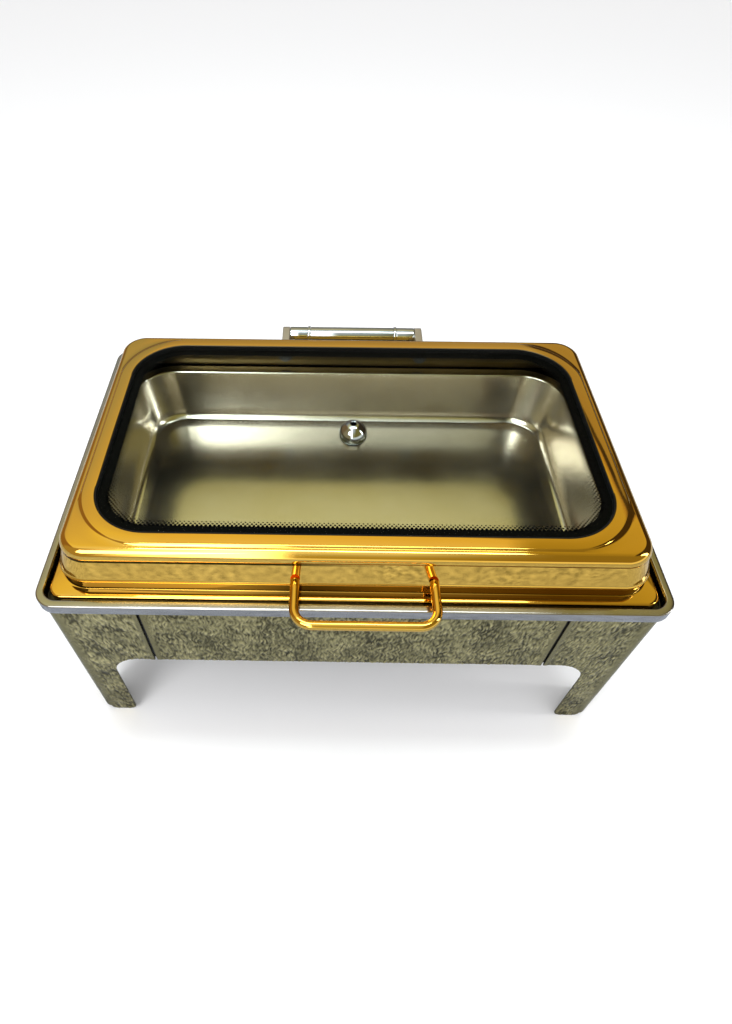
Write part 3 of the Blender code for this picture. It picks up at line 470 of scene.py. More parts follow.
def hammered_gold():
    """Antique gold sheet with painted shade in the hollows and painted highlights on the tops of the
    ripples.
    """
    look = Look("hammered_gold_look", metallic=1)
    height = look.node("ShaderNodeAttribute", attribute_name="ripple").outputs["Fac"]
    # Painted light: the ripple attribute makes the hollows dark and the ridges bright.
    ridge_light = look.spread(height, 0, 1, 0.05, 0.95)
    tone = look.mix(ridge_light, (0.05, 0.042, 0.014), (0.86, 0.74, 0.34))
    patina = look.spread(look.noise(45, 5), 0, 0.5)
    cloudy = look.mix(patina, tone, (0.26, 0.225, 0.09))
    roughness = look.spread(look.noise(140, 4), 0.22, 0.38)
    normal = look.bump(look.noise(1, 3, (760, 760, 190)), 0.16 * MM)
    return look.set(colour=cloudy, roughness=roughness, normal=normal)


# ---------------------------------------------------------------- lid
def lid_rows():
    """Profile of the lid from the ledge under the glass, over the shoulder to the hem, and back inside."""
    t = PRESSED
    top = Z_LID
    rim = Z_RIM
    ledge = GLASS_LOW.z - 0.9 * MM
    inner = grown(WINDOW_HALF, -REBATE)
    fold_corner = SHOULDER_CORNER - UNDERCUT
    wall_corner = 29 * MM
    flange_corner = 14 * MM
    step_half = grown(WALL_HALF, -0.5 * MM)
    foot = grown(WALL_HALF, 1 * MM)
    hem = Z_LEDGE + 0.3 * MM
    band = CREASE - 0.4 * t
    rows = [
        (inner, WINDOW_CORNER - REBATE, ledge, 0),
        (WINDOW_HALF, WINDOW_CORNER, ledge, 0),
        (WINDOW_HALF, WINDOW_CORNER, top, 0.8 * MM),
        (grown(WINDOW_HALF, CREASE), WINDOW_CORNER + CREASE, top - BAND_FALL, 0.9 * MM),
        (grown(WINDOW_HALF, CREASE + STEP), STEP_CORNER, top - BAND_FALL - STEP, 1.2 * MM),
    ]
    rows += [(*row, 0) for row in shoulder_rows(0)]
    rows += [
        (grown(SHOULDER_HALF, -UNDERCUT), fold_corner, rim + UNDERCUT_RISE, 0.5 * MM),
        (grown(WALL_HALF, -0.1 * MM), wall_corner, rim + 9.5 * MM, 1 * MM),
        (grown(WALL_HALF, 0.8 * MM), wall_corner, rim + 8 * MM, 0.8 * MM),
        (grown(WALL_HALF, 0.5 * MM), wall_corner, rim + 6 * MM, 0.8 * MM),
        (step_half, wall_corner, rim + 4.5 * MM, 1 * MM),
        (step_half, wall_corner, rim - 4.2 * MM, 2.6 * MM),
        (foot, wall_corner - 2 * MM, rim - 4.4 * MM, 0),
        (grown(FLANGE_HALF, -2.2 * MM), flange_corner - 1.8 * MM, rim - 4.6 * MM, 0.8 * MM),
        (FLANGE_HALF, flange_corner, rim - 5.4 * MM, 1.6 * MM),
        (FLANGE_HALF, flange_corner, hem, 0.3 * MM),
        (grown(FLANGE_HALF, -t), flange_corner - t, hem, 0.3 * MM),
        (grown(FLANGE_HALF, -t), flange_corner - t, rim - 5.6 * MM, 1 * MM),
        (grown(foot, -0.5 * t), wall_corner - 2.5 * MM, rim - 5.4 * MM, 0),
        (grown(step_half, -t), wall_corner - t, rim - 3.6 * MM, 1.5 * MM),
        (grown(step_half, -t), wall_corner - t, rim + 5.7 * MM, 1 * MM),
        (grown(WALL_HALF, -t), wall_corner - t, rim + 8.5 * MM, 1 * MM),
        (grown(SHOULDER_HALF, -UNDERCUT - t), fold_corner - t, rim + UNDERCUT_RISE, 0.5 * MM),
    ]
    rows += [(*row, 0) for row in reversed(shoulder_rows(t))]
    rows += [
        (grown(WINDOW_HALF, band + STEP), STEP_CORNER, top - BAND_FALL - STEP - t, 0.6 * MM),
        (grown(WINDOW_HALF, band), WINDOW_CORNER + band, top - BAND_FALL - t, 0.6 * MM),
        (grown(WINDOW_HALF, t), WINDOW_CORNER + t, top - 1.2 * MM, 0.6 * MM),
        (grown(WINDOW_HALF, t), WINDOW_CORNER + t, ledge - t, 0.6 * MM),
        (inner, WINDOW_CORNER - REBATE, ledge - t, 0),
    ]
    return rows


def shoulder_rows(inset):
    """Quarter-ellipse roll from the flat top to the widest part; inset goes into the sheet."""
    steps = 14
    start_half = grown(WINDOW_HALF, CREASE + STEP + 0.8 * MM)
    low = Z_RIM + SHOULDER_RISE
    rise = Z_LID - BAND_FALL - STEP - low - inset
    rows = []
    for step in range(steps + 1):
        angle = math.radians(90 * step / steps)
        across = math.sin(angle)
        half = tuple(a + (b - inset - a) * across for a, b in zip(start_half, SHOULDER_HALF))
        corner = TOP_CORNER + (SHOULDER_CORNER - inset - TOP_CORNER) * across
        rows.append((half, corner, low + rise * math.cos(angle)))
    return rows


def lid_shell(gold):
    """Polished outside; faces that look inwards or down get the unpolished finish with its painted shade."""
    shell = loft("lid_skin", gold, soften(lid_rows(), ring=True), ring=True)
    shell.data.materials.append(gold_inside_painted_shade())
    for face in shell.data.polygons:
        normal = face.normal
        place = face.center
        outward = normal.x * place.x / LID_HIGH.x ** 2 + normal.y * place.y / LID_HIGH.y ** 2
        # Inward and downward faces get the material with painted shade.
        if place.z > Z_RIM - 3 * MM and (outward < -0.3 or normal.z < -0.4):
            face.material_index = 1
    put(shell, "lid", "lid_shell")


def window_glass(glass):
    """Pane with a softened upper edge."""
    pane_half = grown(WINDOW_HALF, -1.4 * MM)
    corner = WINDOW_CORNER - 1.4 * MM
    pane = loft("window_glass", glass, [
        (pane_half, corner, GLASS_LOW.z),
        (pane_half, corner, GLASS_HIGH.z - 0.6 * MM),
        (grown(pane_half, -0.2 * MM), corner - 0.2 * MM, GLASS_HIGH.z - 0.15 * MM),
        (grown(pane_half, -0.7 * MM), corner - 0.7 * MM, GLASS_HIGH.z),
    ])
    put(pane, "lid", "glass")


def window_seal(rubber):
    """Rubber frame: a lip round the pane and a pad under it."""
    seal_top = GLASS_HIGH.z + 0.3 * MM
    outer = grown(WINDOW_HALF, -0.3 * MM)
    upright = grown(WINDOW_HALF, -1.15 * MM)
    pad = grown(WINDOW_HALF, -REBATE + 0.5 * MM)
    seal = loft("window_seal", rubber, soften([
        (pad, WINDOW_CORNER - REBATE + 0.5 * MM, GLASS_LOW.z - 0.6 * MM, 0),
        (outer, WINDOW_CORNER - 0.3 * MM, GLASS_LOW.z - 0.6 * MM, 0),
        (outer, WINDOW_CORNER - 0.3 * MM, seal_top, 0.4 * MM),
        (upright, WINDOW_CORNER - 1.15 * MM, seal_top, 0.4 * MM),
        (upright, WINDOW_CORNER - 1.15 * MM, GLASS_LOW.z - 0.1 * MM, 0),
        (pad, WINDOW_CORNER - REBATE + 0.5 * MM, GLASS_LOW.z - 0.1 * MM, 0),
    ], ring=True), ring=True)
    put(seal, "lid", "glass_seal")


def window_print(black):
    """Black band printed under the edge of the glass, fading inwards in a staggered lattice of dots."""
    height = GLASS_LOW.z - 0.05 * MM
    thickness = 0.03 * MM
    band = (11.2 * MM, 11.7 * MM)
    band_corner = WINDOW_CORNER - 11 * MM
    inner = (WINDOW_HALF[0] - band[0], WINDOW_HALF[1] - band[1])
    outer = grown(WINDOW_HALF, -1.6 * MM)
    bm = bmesh.new()
    rings = []
    for half, corner, level in (
        (outer, WINDOW_CORNER - 1.6 * MM, height), (inner, band_corner, height),
        (inner, band_corner, height - thickness), (outer, WINDOW_CORNER - 1.6 * MM, height - thickness),
    ):
        rings.append([bm.verts.new((x, y, level)) for x, y in rounded_rectangle(half, corner)])
    for i, ring in enumerate(rings):
        after = rings[(i + 1) % len(rings)]
        for j in range(len(ring)):
            bm.faces.new((ring[j - 1], ring[j], after[j], after[j - 1]))
    pitch = 3.9 * MM
    row_step = 2.15 * MM
    columns = math.ceil(inner[0] / pitch)
    rows = math.ceil(inner[1] / row_step)
    for j in range(-rows, rows + 1):
        for i in range(-columns, columns + 1):
            centre = ((i + 0.5 * (j % 2)) * pitch, j * row_step)
            inset = depth_inside(centre, inner, band_corner)
            radius = 1.45 * MM - 0.14 * inset
            if -1.5 * MM < inset < 6.6 * MM and radius > 0.45 * MM:
                dot(bm, centre, radius, height, thickness)
    printed = put(finish_mesh(bm, "window_print", black), "lid")


def depth_inside(point, half, corner):
    """How far a point lies inside a rounded rectangle."""
    x = abs(point[0]) - (half[0] - corner)
    y = abs(point[1]) - (half[1] - corner)
    return corner - math.hypot(max(x, 0), max(y, 0)) - min(max(x, y), 0)


def dot(bm, centre, radius, height, thickness):
    corners = arc(centre, radius, 0, 315, 7)
    top = [bm.verts.new((x, y, height)) for x, y in corners]
    low = [bm.verts.new((x, y, height - thickness)) for x, y in corners]
    bm.faces.new(top)
    bm.faces.new(low)
    for i in range(len(top)):
        bm.faces.new((top[i - 1], top[i], low[i], low[i - 1]))


def vent_knob(metal, rubber):
    """Polished dome with a steam hole in its top, on a thin seal."""
    centre_x = (KNOB_LOW.x + KNOB_HIGH.x) / 2
    centre_y = (KNOB_LOW.y + KNOB_HIGH.y) / 2
    radius = (KNOB_HIGH.x - KNOB_LOW.x) / 2
    base = GLASS_HIGH.z + 2.1 * MM
    centre = base + radius * 0.15
    vent = 3 * MM
    mouth = 3.5 * MM
    first = math.degrees(math.asin((base + 0.8 * MM - centre) / radius))
    last = math.degrees(math.acos(mouth / radius))
    dome = arc((0, centre), radius, first, last, 40)
    stem = 5 * MM
    profile = [(vent, KNOB_LOW.z), (stem, KNOB_LOW.z), (stem, base), (radius - 1.4 * MM, base),
               (radius - 0.6 * MM, base + 0.2 * MM)]
    profile += dome
    profile += [(vent + 0.1 * MM, dome[-1][1] - 0.2 * MM), (vent, dome[-1][1] - 0.8 * MM)]
    knob = turned("dome_knob", metal, profile, steps=96)
    put(knob, "lid", "vent_knob", (centre_x, centre_y, 0))
    hole = stem + 0.4 * MM
    edge = radius - 0.6 * MM
    soft = 0.4 * MM
    low = 0.3 * MM
    high = 1.8 * MM
    seal = turned("dome_knob_seal", rubber, [
        (hole, low), (edge - soft, low), (edge, low + soft),
        (edge, high - soft), (edge - soft, high), (hole, high),
    ])
    put(seal, "lid", "knob_seal", (centre_x, centre_y, GLASS_HIGH.z))


def handle(gold):
    """Bent round bar; its ends meet the lid's sloping front wall."""
    radius = (HANDLE_HIGH.z - HANDLE_LOW.z) / 2
    middle = (HANDLE_LOW.x + HANDLE_HIGH.x) / 2
    half = (HANDLE_HIGH.x - HANDLE_LOW.x) / 2 - radius
    level = (HANDLE_LOW.z + HANDLE_HIGH.z) / 2
    front = HANDLE_LOW.y + radius
    start = HANDLE_HIGH.y + 0.2 * MM
    bend = 16 * MM
    path = [(-half, start), (-half, (start + front + bend) / 2)]
    path += arc((-half + bend, front + bend), bend, 180, 270, 16)
    path += [(x * half / 4, front) for x in range(-2, 3)]
    path += arc((half - bend, front + bend), bend, 270, 360, 16)
    path += [(half, (start + front + bend) / 2), (half, start)]
    around = 28
    bm = bmesh.new()
    loops = []
    for i, (x, y) in enumerate(path):
        before = path[max(i - 1, 0)]
        after = path[min(i + 1, len(path) - 1)]
        direction = Vector((after[0] - before[0], after[1] - before[1])).normalized()
        side = Vector((direction.y, -direction.x))
        loop = []
        for step in range(around):
            angle = 2 * math.pi * step / around
            across = radius * math.cos(angle)
            loop.append(bm.verts.new((x + side.x * across, y + side.y * across, radius * math.sin(angle))))
        loops.append(loop)
    for lower, upper in zip(loops, loops[1:]):
        for i in range(around):
            bm.faces.new((lower[i - 1], lower[i], upper[i], upper[i - 1]))
    bm.faces.new(loops[0])
    bm.faces.new(loops[-1])
    put(finish_mesh(bm, "bar_handle", gold), "lid", "handle", (middle, 0, level))


# ---------------------------------------------------------------- pans
def water_pan(steel):
    t = 1.2 * MM
    rim_inner = (RIM_HALF[0] - 6.7 * MM, RIM_HALF[1] - 7.5 * MM)
    inner_corner = 14 * MM
    rim_corner = 20 * MM
    basin = (258 * MM, 155.5 * MM)
    basin_corner = 40 * MM
    floor = Z_RIM - 93 * MM
    rows = [
        (grown(basin, -23 * MM), 25 * MM, floor, 0),
        (grown(basin, -11 * MM), 35 * MM, floor + 0.5 * MM, 9 * MM),
        (basin, basin_corner, Z_LEDGE - 3 * MM, 0),
        (grown(basin, 1 * MM), basin_corner + 1 * MM, Z_LEDGE, 2 * MM),
        (grown(rim_inner, -1 * MM), inner_corner, Z_LEDGE, 0.5 * MM),
        (rim_inner, inner_corner, Z_LEDGE + 1 * MM, 0.6 * MM),
        (rim_inner, inner_corner, Z_RIM, 1.2 * MM),
        (RIM_HALF, rim_corner, Z_RIM, 1.5 * MM),
        (RIM_HALF, rim_corner, Z_RIM - 11 * MM, 0.5 * MM),
        (grown(RIM_HALF, -t), rim_corner - t, Z_RIM - 11 * MM, 0.5 * MM),
        (grown(RIM_HALF, -t), rim_corner - t, Z_RIM - t, 1 * MM),
        (grown(rim_inner, t), inner_corner + t, Z_RIM - t, 0.4 * MM),
        (grown(rim_inner, t), inner_corner + t, Z_LEDGE - t, 0.4 * MM),
        (grown(basin, 1 * MM + t), basin_corner + 1 * MM + t, Z_LEDGE - t, 1.5 * MM),
        (grown(basin, t), basin_corner + t, Z_LEDGE - 4 * MM, 0),
        (grown(basin, t - 11 * MM), 35 * MM + t, floor + 0.5 * MM - t, 9 * MM),
        (grown(basin, -23 * MM), 25 * MM, floor - t, 0),
    ]
    put(loft("water_basin", steel, soften(rows)), "water_pan", "water_pan")


def food_pan(steel):
    t = PRESSED
    inner = (252.5 * MM, 150 * MM)
    corner = 47 * MM
    rim_corner = corner + PAN_HALF[0] - inner[0]
    top = PAN_HIGH.z
    floor = top - 65 * MM
    low = Z_LEDGE + 0.3 * MM
    rows = [
        (grown(inner, -45 * MM), 16 * MM, floor, 0),
        (grown(inner, -26 * MM), 30 * MM, floor + 0.4 * MM, 3 * MM),
        (grown(inner, -10 * MM), 42 * MM, floor + 3 * MM, 13 * MM),
        (grown(inner, -1 * MM), corner - 1 * MM, top - 5 * MM, 2 * MM),
        (inner, corner, top, 3 * MM),
        (PAN_HALF, rim_corner, top, 2.5 * MM),
        (PAN_HALF, rim_corner, low, 0.4 * MM),
        (grown(PAN_HALF, -t), rim_corner - t, low, 0.4 * MM),
        (grown(PAN_HALF, -t), rim_corner - t, top - t, 2 * MM),
        (grown(inner, t), corner + t, top - t, 2 * MM),
        (grown(inner, -1 * MM + t), corner - 1 * MM + t, top - 5 * MM, 2 * MM),
        (grown(inner, -10 * MM + t), 42 * MM + t, floor + 3 * MM - t, 13 * MM),
        (grown(inner, -26 * MM + t), 30 * MM, floor + 0.4 * MM - t, 3 * MM),
        (grown(inner, -45 * MM), 16 * MM, floor - t, 0),
    ]
    put(loft("inner_pan", steel, soften(rows, steps=8)), "food_pan", "food_pan")


# ---------------------------------------------------------------- hammered stand
LEG_WIDTH = LEG_HIGH.x - LEG_LOW.x
LEG_BEND = 8 * MM
FOOT_WIDTH = 36 * MM
ARCH_RADIUS = 30 * MM
FOOT_CORNER = 8 * MM
RIPPLE_DEPTH = 0.75 * MM
RIPPLE_WIDTH = 2.9 * MM
RIPPLE_LENGTH = 8 * MM
PLAIN_EDGE = 5 * MM
PLAIN_EDGE_LIGHT = 0.34  # painted light of an edge without hammer marks; 0 is a hollow's painted shade, 1 a ridge's painted highlight


def ripple(along, height, seed):
    """Hammer marks: short upright ripples, 0 in the hollows and 1 on the ridges."""
    sway = 1.3 * noise.noise(Vector((along / (17 * MM), height / (9 * MM), seed + 7)))
    place = Vector((along / RIPPLE_WIDTH + sway, height / RIPPLE_LENGTH, seed))
    near, second = noise.voronoi(place)[0][0:2]
    wave = noise.noise(place * 1.6)
    swell = noise.noise(Vector((along / (30 * MM), height / (26 * MM), seed + 3)))
    return min(1.0, max(0.0, 0.9 * (second - near) + 0.75 * wave + 0.3 * swell + 0.22))


def fade(distance, width=PLAIN_EDGE):
    """0 at a plain edge, 1 past its width."""
    share = min(1.0, max(0.0, distance / width - 0.5))
    return share * share * (3 - 2 * share)


def hammer(piece, mask, edge, seed):
    """Dent the outer skin of a flat sheet that lies in X and Z with its outer face at Y = 0.

    It stores painted light per vertex: shade in the hollows, highlights on the ridges. The cut edges at
    either end of the sheet get painted shade, for the dark slots beside them.
    """
    painted_light_values = []
    for vert in piece.data.vertices:
        value = ripple(vert.co.x, vert.co.z, seed)
        amount = mask(vert.co.x)
        # Painted shade on the cut edges at the ends of the sheet.
        at_end = abs(vert.co.x) > edge - 0.1 * MM
        painted_light_values.append(0 if at_end else PLAIN_EDGE_LIGHT + (value - PLAIN_EDGE_LIGHT) * amount)
        if vert.co.y < 0.5 * MM:
            vert.co.y += RIPPLE_DEPTH * (1 - value) * amount
    layer = piece.data.attributes.new("ripple", "FLOAT", "POINT")
    layer.data.foreach_set("value", painted_light_values)


def fine_skin(bm, low, high, cell, depth):
    """Grid of small faces between two (x, z) corners; its rows of vertices are returned."""
    width = high[0] - low[0]
    height = high[1] - low[1]
    columns = round(width / cell[0])
    rows = round(height / cell[1])
    skin = []
    for j in range(rows + 1):
        z = low[1] + height * j / rows
        skin.append([bm.verts.new((low[0] + width * i / columns, depth, z)) for i in range(columns + 1)])
    for lower, upper in zip(skin, skin[1:]):
        for i in range(columns):
            bm.faces.new((lower[i], lower[i + 1], upper[i + 1], upper[i]))
    return skin


def border(skin):
    """Vertices round the edge of a skin, in order."""
    right = [row[-1] for row in skin[1:-1]]
    left = [row[0] for row in skin[-2:0:-1]]
    return skin[0] + right + skin[-1][::-1] + left


def flat_sheet(name, finish, low, high, cell):
    """Flat sheet between two (x, z) corners: a fine outer skin at Y = 0 and a plain back."""
    bm = bmesh.new()
    edge = border(fine_skin(bm, low, high, cell, 0))
    back = [bm.verts.new((vert.co.x, SHEET, vert.co.z)) for vert in edge]
    for i in range(len(edge)):
        bm.faces.new((edge[i - 1], back[i - 1], back[i], edge[i]))
    bm.faces.new(back)
    return finish_mesh(bm, name, finish, 70)


def panel(name, node, finish, length, distance, turn, seed):
    """Hammered panel with a return along its lower edge."""
    half = length / 2
    cell = (0.65 * MM, 1.9 * MM)
    face = flat_sheet(name, finish, (-half, PANEL_BOTTOM), (half, STAND_TOP), cell)
    hammer(face, lambda x: fade(half - abs(x)), half, seed)
    back = bmesh.new()
    section = [(SHEET, PANEL_BOTTOM), (12 * MM, PANEL_BOTTOM), (12 * MM, PANEL_BOTTOM + SHEET),
               (SHEET, PANEL_BOTTOM + SHEET)]
    ends = [[back.verts.new((x, y, z)) for y, z in section] for x in (-half, half)]
    for i in range(4):
        back.faces.new((ends[0][i - 1], ends[0][i], ends[1][i], ends[1][i - 1]))
    back.faces.new(ends[0])
    back.faces.new(ends[1])
    flange = finish_mesh(back, name + "_return", finish)
    for piece in (face, flange):
        piece.data.transform(Matrix.Translation((0, -distance, 0)))
        piece.data.transform(Matrix.Rotation(math.radians(turn), 4, "Z"))
    put(face, "stand", node)
    put(flange, "stand")


def leg_outline():
    """Distances from the middle of the bend on the flat blank: end of the bend, edge, inside of the foot."""
    outer = LEG_BEND * math.pi / 4
    edge = LEG_WIDTH - LEG_BEND + outer
    foot_inner = outer + FOOT_WIDTH - LEG_BEND
    return outer, edge, foot_inner


def leg_path(distance, depth):
    """Plan position on the bent leg; depth goes into the sheet."""
    bend_half = LEG_BEND * math.pi / 4
    centre_x = STAND_HALF[0] - LEG_BEND
    centre_y = STAND_HALF[1] - LEG_BEND
    if distance < -bend_half:
        return (centre_x + distance + bend_half, -STAND_HALF[1] + depth)
    if distance > bend_half:
        return (STAND_HALF[0] - depth, -centre_y + distance - bend_half)
    angle = math.radians(-45) + distance / LEG_BEND
    radius = LEG_BEND - depth
    return (centre_x + radius * math.cos(angle), -centre_y + radius * math.sin(angle))


def leg_cutter():
    """Everything the blank loses: the arches beside the foot and the rounded corners of the foot."""
    outer, edge, foot_inner = leg_outline()
    far = edge + 10 * MM
    low = -10 * MM
    side = [(far, low), (far, PANEL_BOTTOM)]
    side += arc((foot_inner + ARCH_RADIUS, PANEL_BOTTOM - ARCH_RADIUS), ARCH_RADIUS, 90, 180, 16)
    side += arc((foot_inner - FOOT_CORNER, FOOT_CORNER), FOOT_CORNER, 0, -90, 8)
    side.append((foot_inner - FOOT_CORNER, low))
    notch = arc((outer + FOOT_CORNER, FOOT_CORNER), FOOT_CORNER, 270, 180, 8)
    notch = [(x, z) for x, z in notch] + [(-x, z) for x, z in reversed(notch)]
    notch = [(outer + FOOT_CORNER, low)] + notch + [(-outer - FOOT_CORNER, low)]
    bm = bmesh.new()
    for outline in (side, [(-x, z) for x, z in side], notch):
        extrude(bm, [(x, -5 * MM, z) for x, z in outline], (0, 12 * MM, 0))
    return finish_mesh(bm, "leg_cutter", None)


def flat_leg(finish):
    """Fine flat blank cut to its outline, ready to be hammered and bent."""
    edge = leg_outline()[1]
    bm = bmesh.new()
    cell = (0.72 * MM, 2.2 * MM)
    near, far = (border(fine_skin(bm, (-edge, 0), (edge, STAND_TOP), cell, depth)) for depth in (0, SHEET))
    for i in range(len(near)):
        bm.faces.new((near[i - 1], far[i - 1], far[i], near[i]))
    blank = finish_mesh(bm, "leg_blank", finish, 70)
    cutter = leg_cutter()
    boolean = blank.modifiers.new("cut", "BOOLEAN")
    boolean.operation = "DIFFERENCE"
    boolean.solver = "EXACT"
    boolean.object = cutter
    bpy.context.view_layer.update()
    graph = bpy.context.evaluated_depsgraph_get()
    result = bpy.data.meshes.new_from_object(blank.evaluated_get(graph))
    bpy.data.objects.remove(cutter)
    bpy.data.objects.remove(blank)
    return result


def legs(finish):
    blank = flat_leg(finish)
    edge = leg_outline()[1]
    corners = (("front_right", 1, 1), ("front_left", -1, 1), ("rear_left", -1, -1), ("rear_right", 1, -1))
    for seed, (corner, sign_x, sign_y) in enumerate(corners):
        name = "leg_" + corner
        leg = add("hammered_" + name, blank.copy())
        hammer(leg, lambda x: fade(abs(x), 11 * MM) * fade(edge - abs(x), 4 * MM), edge, 40 + seed)
        for vert in leg.data.vertices:
            vert.co.x, vert.co.y = leg_path(vert.co.x, vert.co.y)
        leg.data.transform(Matrix.Diagonal((sign_x, sign_y, 1, 1)))
        if sign_x * sign_y < 0:
            leg.data.flip_normals()
        smooth(leg.data, 70)
        put(leg, "stand", name)


def stand(finish):
    length = PANEL_HIGH.x - PANEL_LOW.x
    depth = SIDE_HIGH.y - SIDE_LOW.y
    panel("hammered_front_panel", "front_panel", finish, length, STAND_HALF[1], 0, 3)
    panel("hammered_rear_panel", "rear_panel", finish, length, STAND_HALF[1], 180, 11)
    panel("hammered_right_panel", "right_panel", finish, depth, STAND_HALF[0], 90, 19)
    panel("hammered_left_panel", "left_panel", finish, depth, STAND_HALF[0], -90, 27)
    legs(finish)


# ---------------------------------------------------------------- hinge
def tube_piece(name, node, body, finish, edge=0.5 * MM):
    """A tube along X in a CAD node's box, with softened ends."""
    low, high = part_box(node)
    radius = (high.z - low.z) / 2
    half = (high.x - low.x) / 2
    inner = 8 * MM
    profile = [(inner, -half), (radius - edge, -half), (radius - 0.15 * edge, -half + 0.15 * edge),
               (radius, -half + edge), (radius, half - edge), (radius - 0.15 * edge, half - 0.15 * edge),
               (radius - edge, half), (inner, half)]
    piece = turned(name, finish, profile, steps=72, sharp_angle=60)
    middle = (low + high) / 2
    put(piece, body, node, middle, (0, math.radians(90), 0))


def hinge(metal, satin):
    tube_piece("damper_tube", "hinge_tube", "water_pan", metal)
    for side in ("left", "right"):
        tube_piece("damper_ring_" + side, "hinge_collar_" + side, "water_pan", metal, 0.9 * MM)
        tube_piece("damper_end_" + side, "hinge_sleeve_" + side, "lid", metal, 0.4 * MM)
        hinge_arm(side, satin)


def hinge_arm(side, finish):
    """Arm with a round eye at the shaft and a pad against the lid's rear wall."""
    low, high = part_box("hinge_arm_" + side)
    width = high.x - low.x
    eye = (high.z - low.z) / 2
    centre = (high.y - eye, (low.z + high.z) / 2)
    reach = low.y + 0.4 * MM
    lean = 0.9 * 5.5 / 19.5  # a little steeper than the lid's wall
    up = 8 * MM
    down = 9 * MM
    outline = arc(centre, eye, -90, 90, 28)
    outline += [(reach, centre[1] + up), (reach + (up + down) * lean, centre[1] - down)]
    arm = prism("lid_arm_" + side, finish, outline, width, 0.9 * MM)
    arm.data.transform(Matrix(((0, 0, 1, low.x), (1, 0, 0, 0), (0, 1, 0, 0), (0, 0, 0, 1))))
    put(arm, "lid", "hinge_arm_" + side)


# ---------------------------------------------------------------- carried-over CAD nodes
def dress(nodes, finish):
    for name in nodes:
        piece = frame["nodes"][name]
        piece.data.materials.clear()
        piece.data.materials.append(finish)
        smooth(piece.data, 35)


# ---------------------------------------------------------------- stage
def area_light(name, place, target, size, power, colour=(1, 1, 1)):
    lamp = bpy.data.lights.new(name, "AREA")
    lamp.shape = "RECTANGLE"
    lamp.size, lamp.size_y = size
    lamp.energy = power
    lamp.color = colour
    holder = add(name, lamp)
    holder.location = place
    holder.rotation_euler = (Vector(target) - Vector(place)).to_track_quat("-Z", "Y").to_euler()


def lights():
    middle = (0, 0, 0.2)
    area_light("overhead_strip", (0.0, 0.1, 1.9), middle, (1.4, 0.32), 14, (0.93, 1.0, 0.98))
    area_light("front_left", (-0.9, -1.3, 1.6), middle, (0.9, 1.0), 16)
    area_light("right_strip", (1.6, -0.2, 0.9), middle, (0.2, 1.0), 5)


def world():
    """A white surround for the floor, and a soft room for the mirror surfaces to show."""
    made = bpy.data.worlds.new("room")
    bpy.context.scene.world = made
    made.use_nodes = True
    room = Nodes(made.node_tree, "Generated")
    plain = room.tree.nodes["Background"]
    room.feed(plain.inputs["Color"], (1, 1, 1))
    plain.inputs["Strength"].default_value = 0.95
    seen = room.node("ShaderNodeBackground")
    room.link(room_colour(room), seen.inputs["Color"])
    path = room.node("ShaderNodeLightPath")
    both = room.node("ShaderNodeMixShader")
    room.link(path.outputs["Is Glossy Ray"], both.inputs["Fac"])
    room.link(plain.outputs["Background"], both.inputs[1])
    room.link(seen.outputs["Background"], both.inputs[2])
    room.link(both.outputs["Shader"], room.tree.nodes["World Output"].inputs["Surface"])


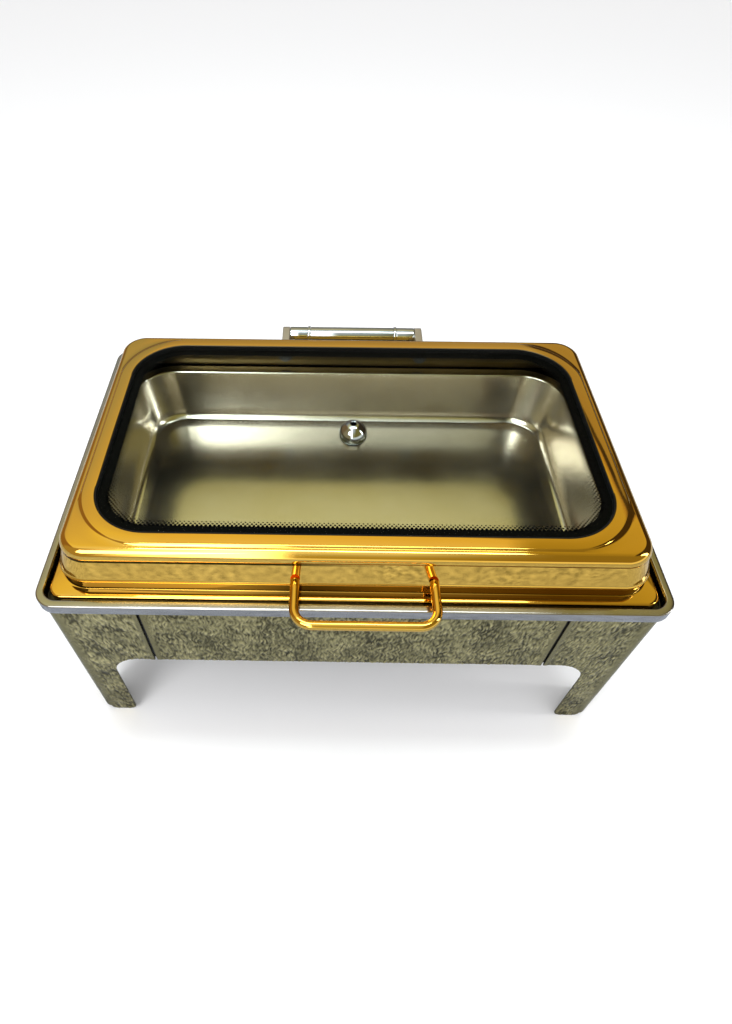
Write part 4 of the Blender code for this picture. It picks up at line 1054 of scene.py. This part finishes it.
def room_colour(room):
    """Colour by direction: a banded wall behind, walls at the sides, and a front with a window on its left.

    A stop's position is the sine of the elevation.
    """
    x, y, z = room.axes()
    white = (1.0, 1.0, 0.98)
    behind = room.ramp(z, (
        (0.0, (0.16, 0.13, 0.09)), (0.50, (0.48, 0.41, 0.30)), (0.58, (0.60, 0.52, 0.38)),
        (0.680, (0.54, 0.48, 0.34)), (0.697, (0.15, 0.115, 0.042)), (0.711, (0.18, 0.14, 0.045)),
        (0.728, (0.46, 0.36, 0.13)), (0.752, (0.88, 0.72, 0.29)), (0.79, (0.88, 0.73, 0.29)),
        (0.87, (0.92, 0.80, 0.48)), (1.0, white),
    ))
    left = room.ramp(z, (
        (0.0, (0.30, 0.25, 0.20)), (0.20, (0.10, 0.07, 0.05)), (0.45, (0.37, 0.38, 0.34)),
        (0.56, (0.46, 0.45, 0.40)), (0.70, (0.68, 0.58, 0.34)), (0.78, (0.90, 0.80, 0.32)), (1.0, white),
    ))
    right = room.ramp(z, (
        (0.0, (0.20, 0.16, 0.11)), (0.10, (0.05, 0.035, 0.02)), (0.44, (0.06, 0.04, 0.024)),
        (0.46, (0.44, 0.36, 0.20)), (0.598, (0.42, 0.33, 0.18)), (0.603, (0.05, 0.04, 0.03)),
        (0.636, (0.07, 0.05, 0.03)), (0.640, (0.45, 0.30, 0.13)), (0.655, (0.50, 0.36, 0.14)),
        (0.662, (0.62, 0.50, 0.16)), (0.76, (0.50, 0.40, 0.10)), (1.0, (0.30, 0.24, 0.07)),
    ))
    front = room.ramp(z, (
        (0.0, (1.0, 1.0, 0.9)), (0.18, (1.0, 0.96, 0.80)), (0.26, (0.46, 0.39, 0.15)),
        (0.55, (0.50, 0.42, 0.14)), (0.80, (0.60, 0.60, 0.50)), (1.0, white),
    ))
    window = room.mix(room.spread(z, 0, 1, 0.05, 0.10), (0.5, 0.5, 0.45), (5.0, 5.0, 4.9))
    window = room.mix(room.spread(x, 0, 1, -0.16, -0.38), window, (0.42, 0.33, 0.16))
    front = room.mix(room.spread(x, 0, 1, -0.05, -0.13), front, window)
    right = room.mix(room.spread(x, 0, 1, 0.52, 0.56), right, (0.06, 0.04, 0.02))
    left = room.mix(room.spread(x, 0, 1, -0.58, -0.63), left, (0.30, 0.18, 0.08))
    shaded = room.ramp(z, (
        (0.0, (1.0, 1.0, 0.9)), (0.18, (1.0, 0.96, 0.80)), (0.26, (0.30, 0.23, 0.06)),
        (1.0, (0.30, 0.24, 0.07)),
    ))
    front = room.mix(room.spread(x, 0, 1, 0.12, 0.36), front, shaded)
    back = room.mix(room.spread(x, 0, 1, 0.29, 0.32), behind, right)
    back = room.mix(room.spread(x, 0, 1, -0.25, -0.28), back, left)
    return room.mix(room.spread(y, 0, 1, 0.05, -0.10), back, front)


def floor():
    """Pale floor that looks like speckled grey stone in the mirror surfaces."""
    bm = bmesh.new()
    bmesh.ops.create_grid(bm, x_segments=1, y_segments=1, size=4)
    look = Look("floor_look", metallic=0)
    path = look.node("ShaderNodeLightPath")
    speck = look.spread(look.noise(60, 6, (1, 0.6, 1), rough=0.75), 0, 1, 0.38, 0.62)
    stone = look.mix(speck, (0.11, 0.12, 0.14), (0.62, 0.67, 0.80))
    seen = look.mix(path.outputs["Is Glossy Ray"], (0.92, 0.92, 0.93), stone)
    plane = finish_mesh(bm, "floor", look.set(colour=seen, roughness=0.9))
    plane.location.z = -0.5 * MM


def camera():
    """The photograph's viewpoint: above the front edge, looking steeply down."""
    place = (-0.0276, -0.4761, Z_RIM + 0.4689)
    yaw, pitch, roll = (math.radians(angle) for angle in (-0.56, 51.63, 0.37))
    lens = bpy.data.cameras.new("camera")
    lens.sensor_width = 36
    lens.lens = 22.0071
    lens.shift_x = 0.045088
    lens.shift_y = 0.023350
    lens.clip_start = 0.01
    holder = add("camera", lens)
    turn = Matrix.Rotation(-yaw, 4, "Z") @ Matrix.Rotation(math.radians(90) - pitch, 4, "X")
    holder.matrix_world = Matrix.Translation(place) @ turn @ Matrix.Rotation(roll, 4, "Z")
    bpy.context.scene.camera = holder
    bpy.context.scene.view_settings.view_transform = "Standard"


def main():
    gold = gold_mirror()
    polished = steel_polished()
    satin = steel_satin()
    plain = steel_plain()
    bright = chrome()
    rubber = black_rubber()
    arm = satin_arm()
    lid_shell(gold)
    window_glass(clear_glass())
    window_seal(rubber)
    window_print(black_print())
    vent_knob(bright, rubber)
    handle(gold)
    water_pan(rim_steel())
    food_pan(satin)
    stand(hammered_gold())
    hinge(bright, arm)
    dress(["stand_frame", "fuel_shelf"], plain)
    dress([name for name in frame["nodes"] if name.startswith(("hinge_screw", "hinge_washer"))], plain)
    dress(["hinge_mount"], arm)
    dress([name for name in frame["nodes"] if name.startswith("foot_pad")], rubber)
    steel_names = ("fuel_holder", "fuel_cover", "fuel_pin", "shelf_screw", "handle_screw", "handle_washer",
                   "hinge_mount_screw", "hinge_shaft", "knob_washer", "knob_nut")
    dress([name for name in frame["nodes"] if name.startswith(steel_names)], polished)
    floor()
    lights()
    world()
    camera()


main()
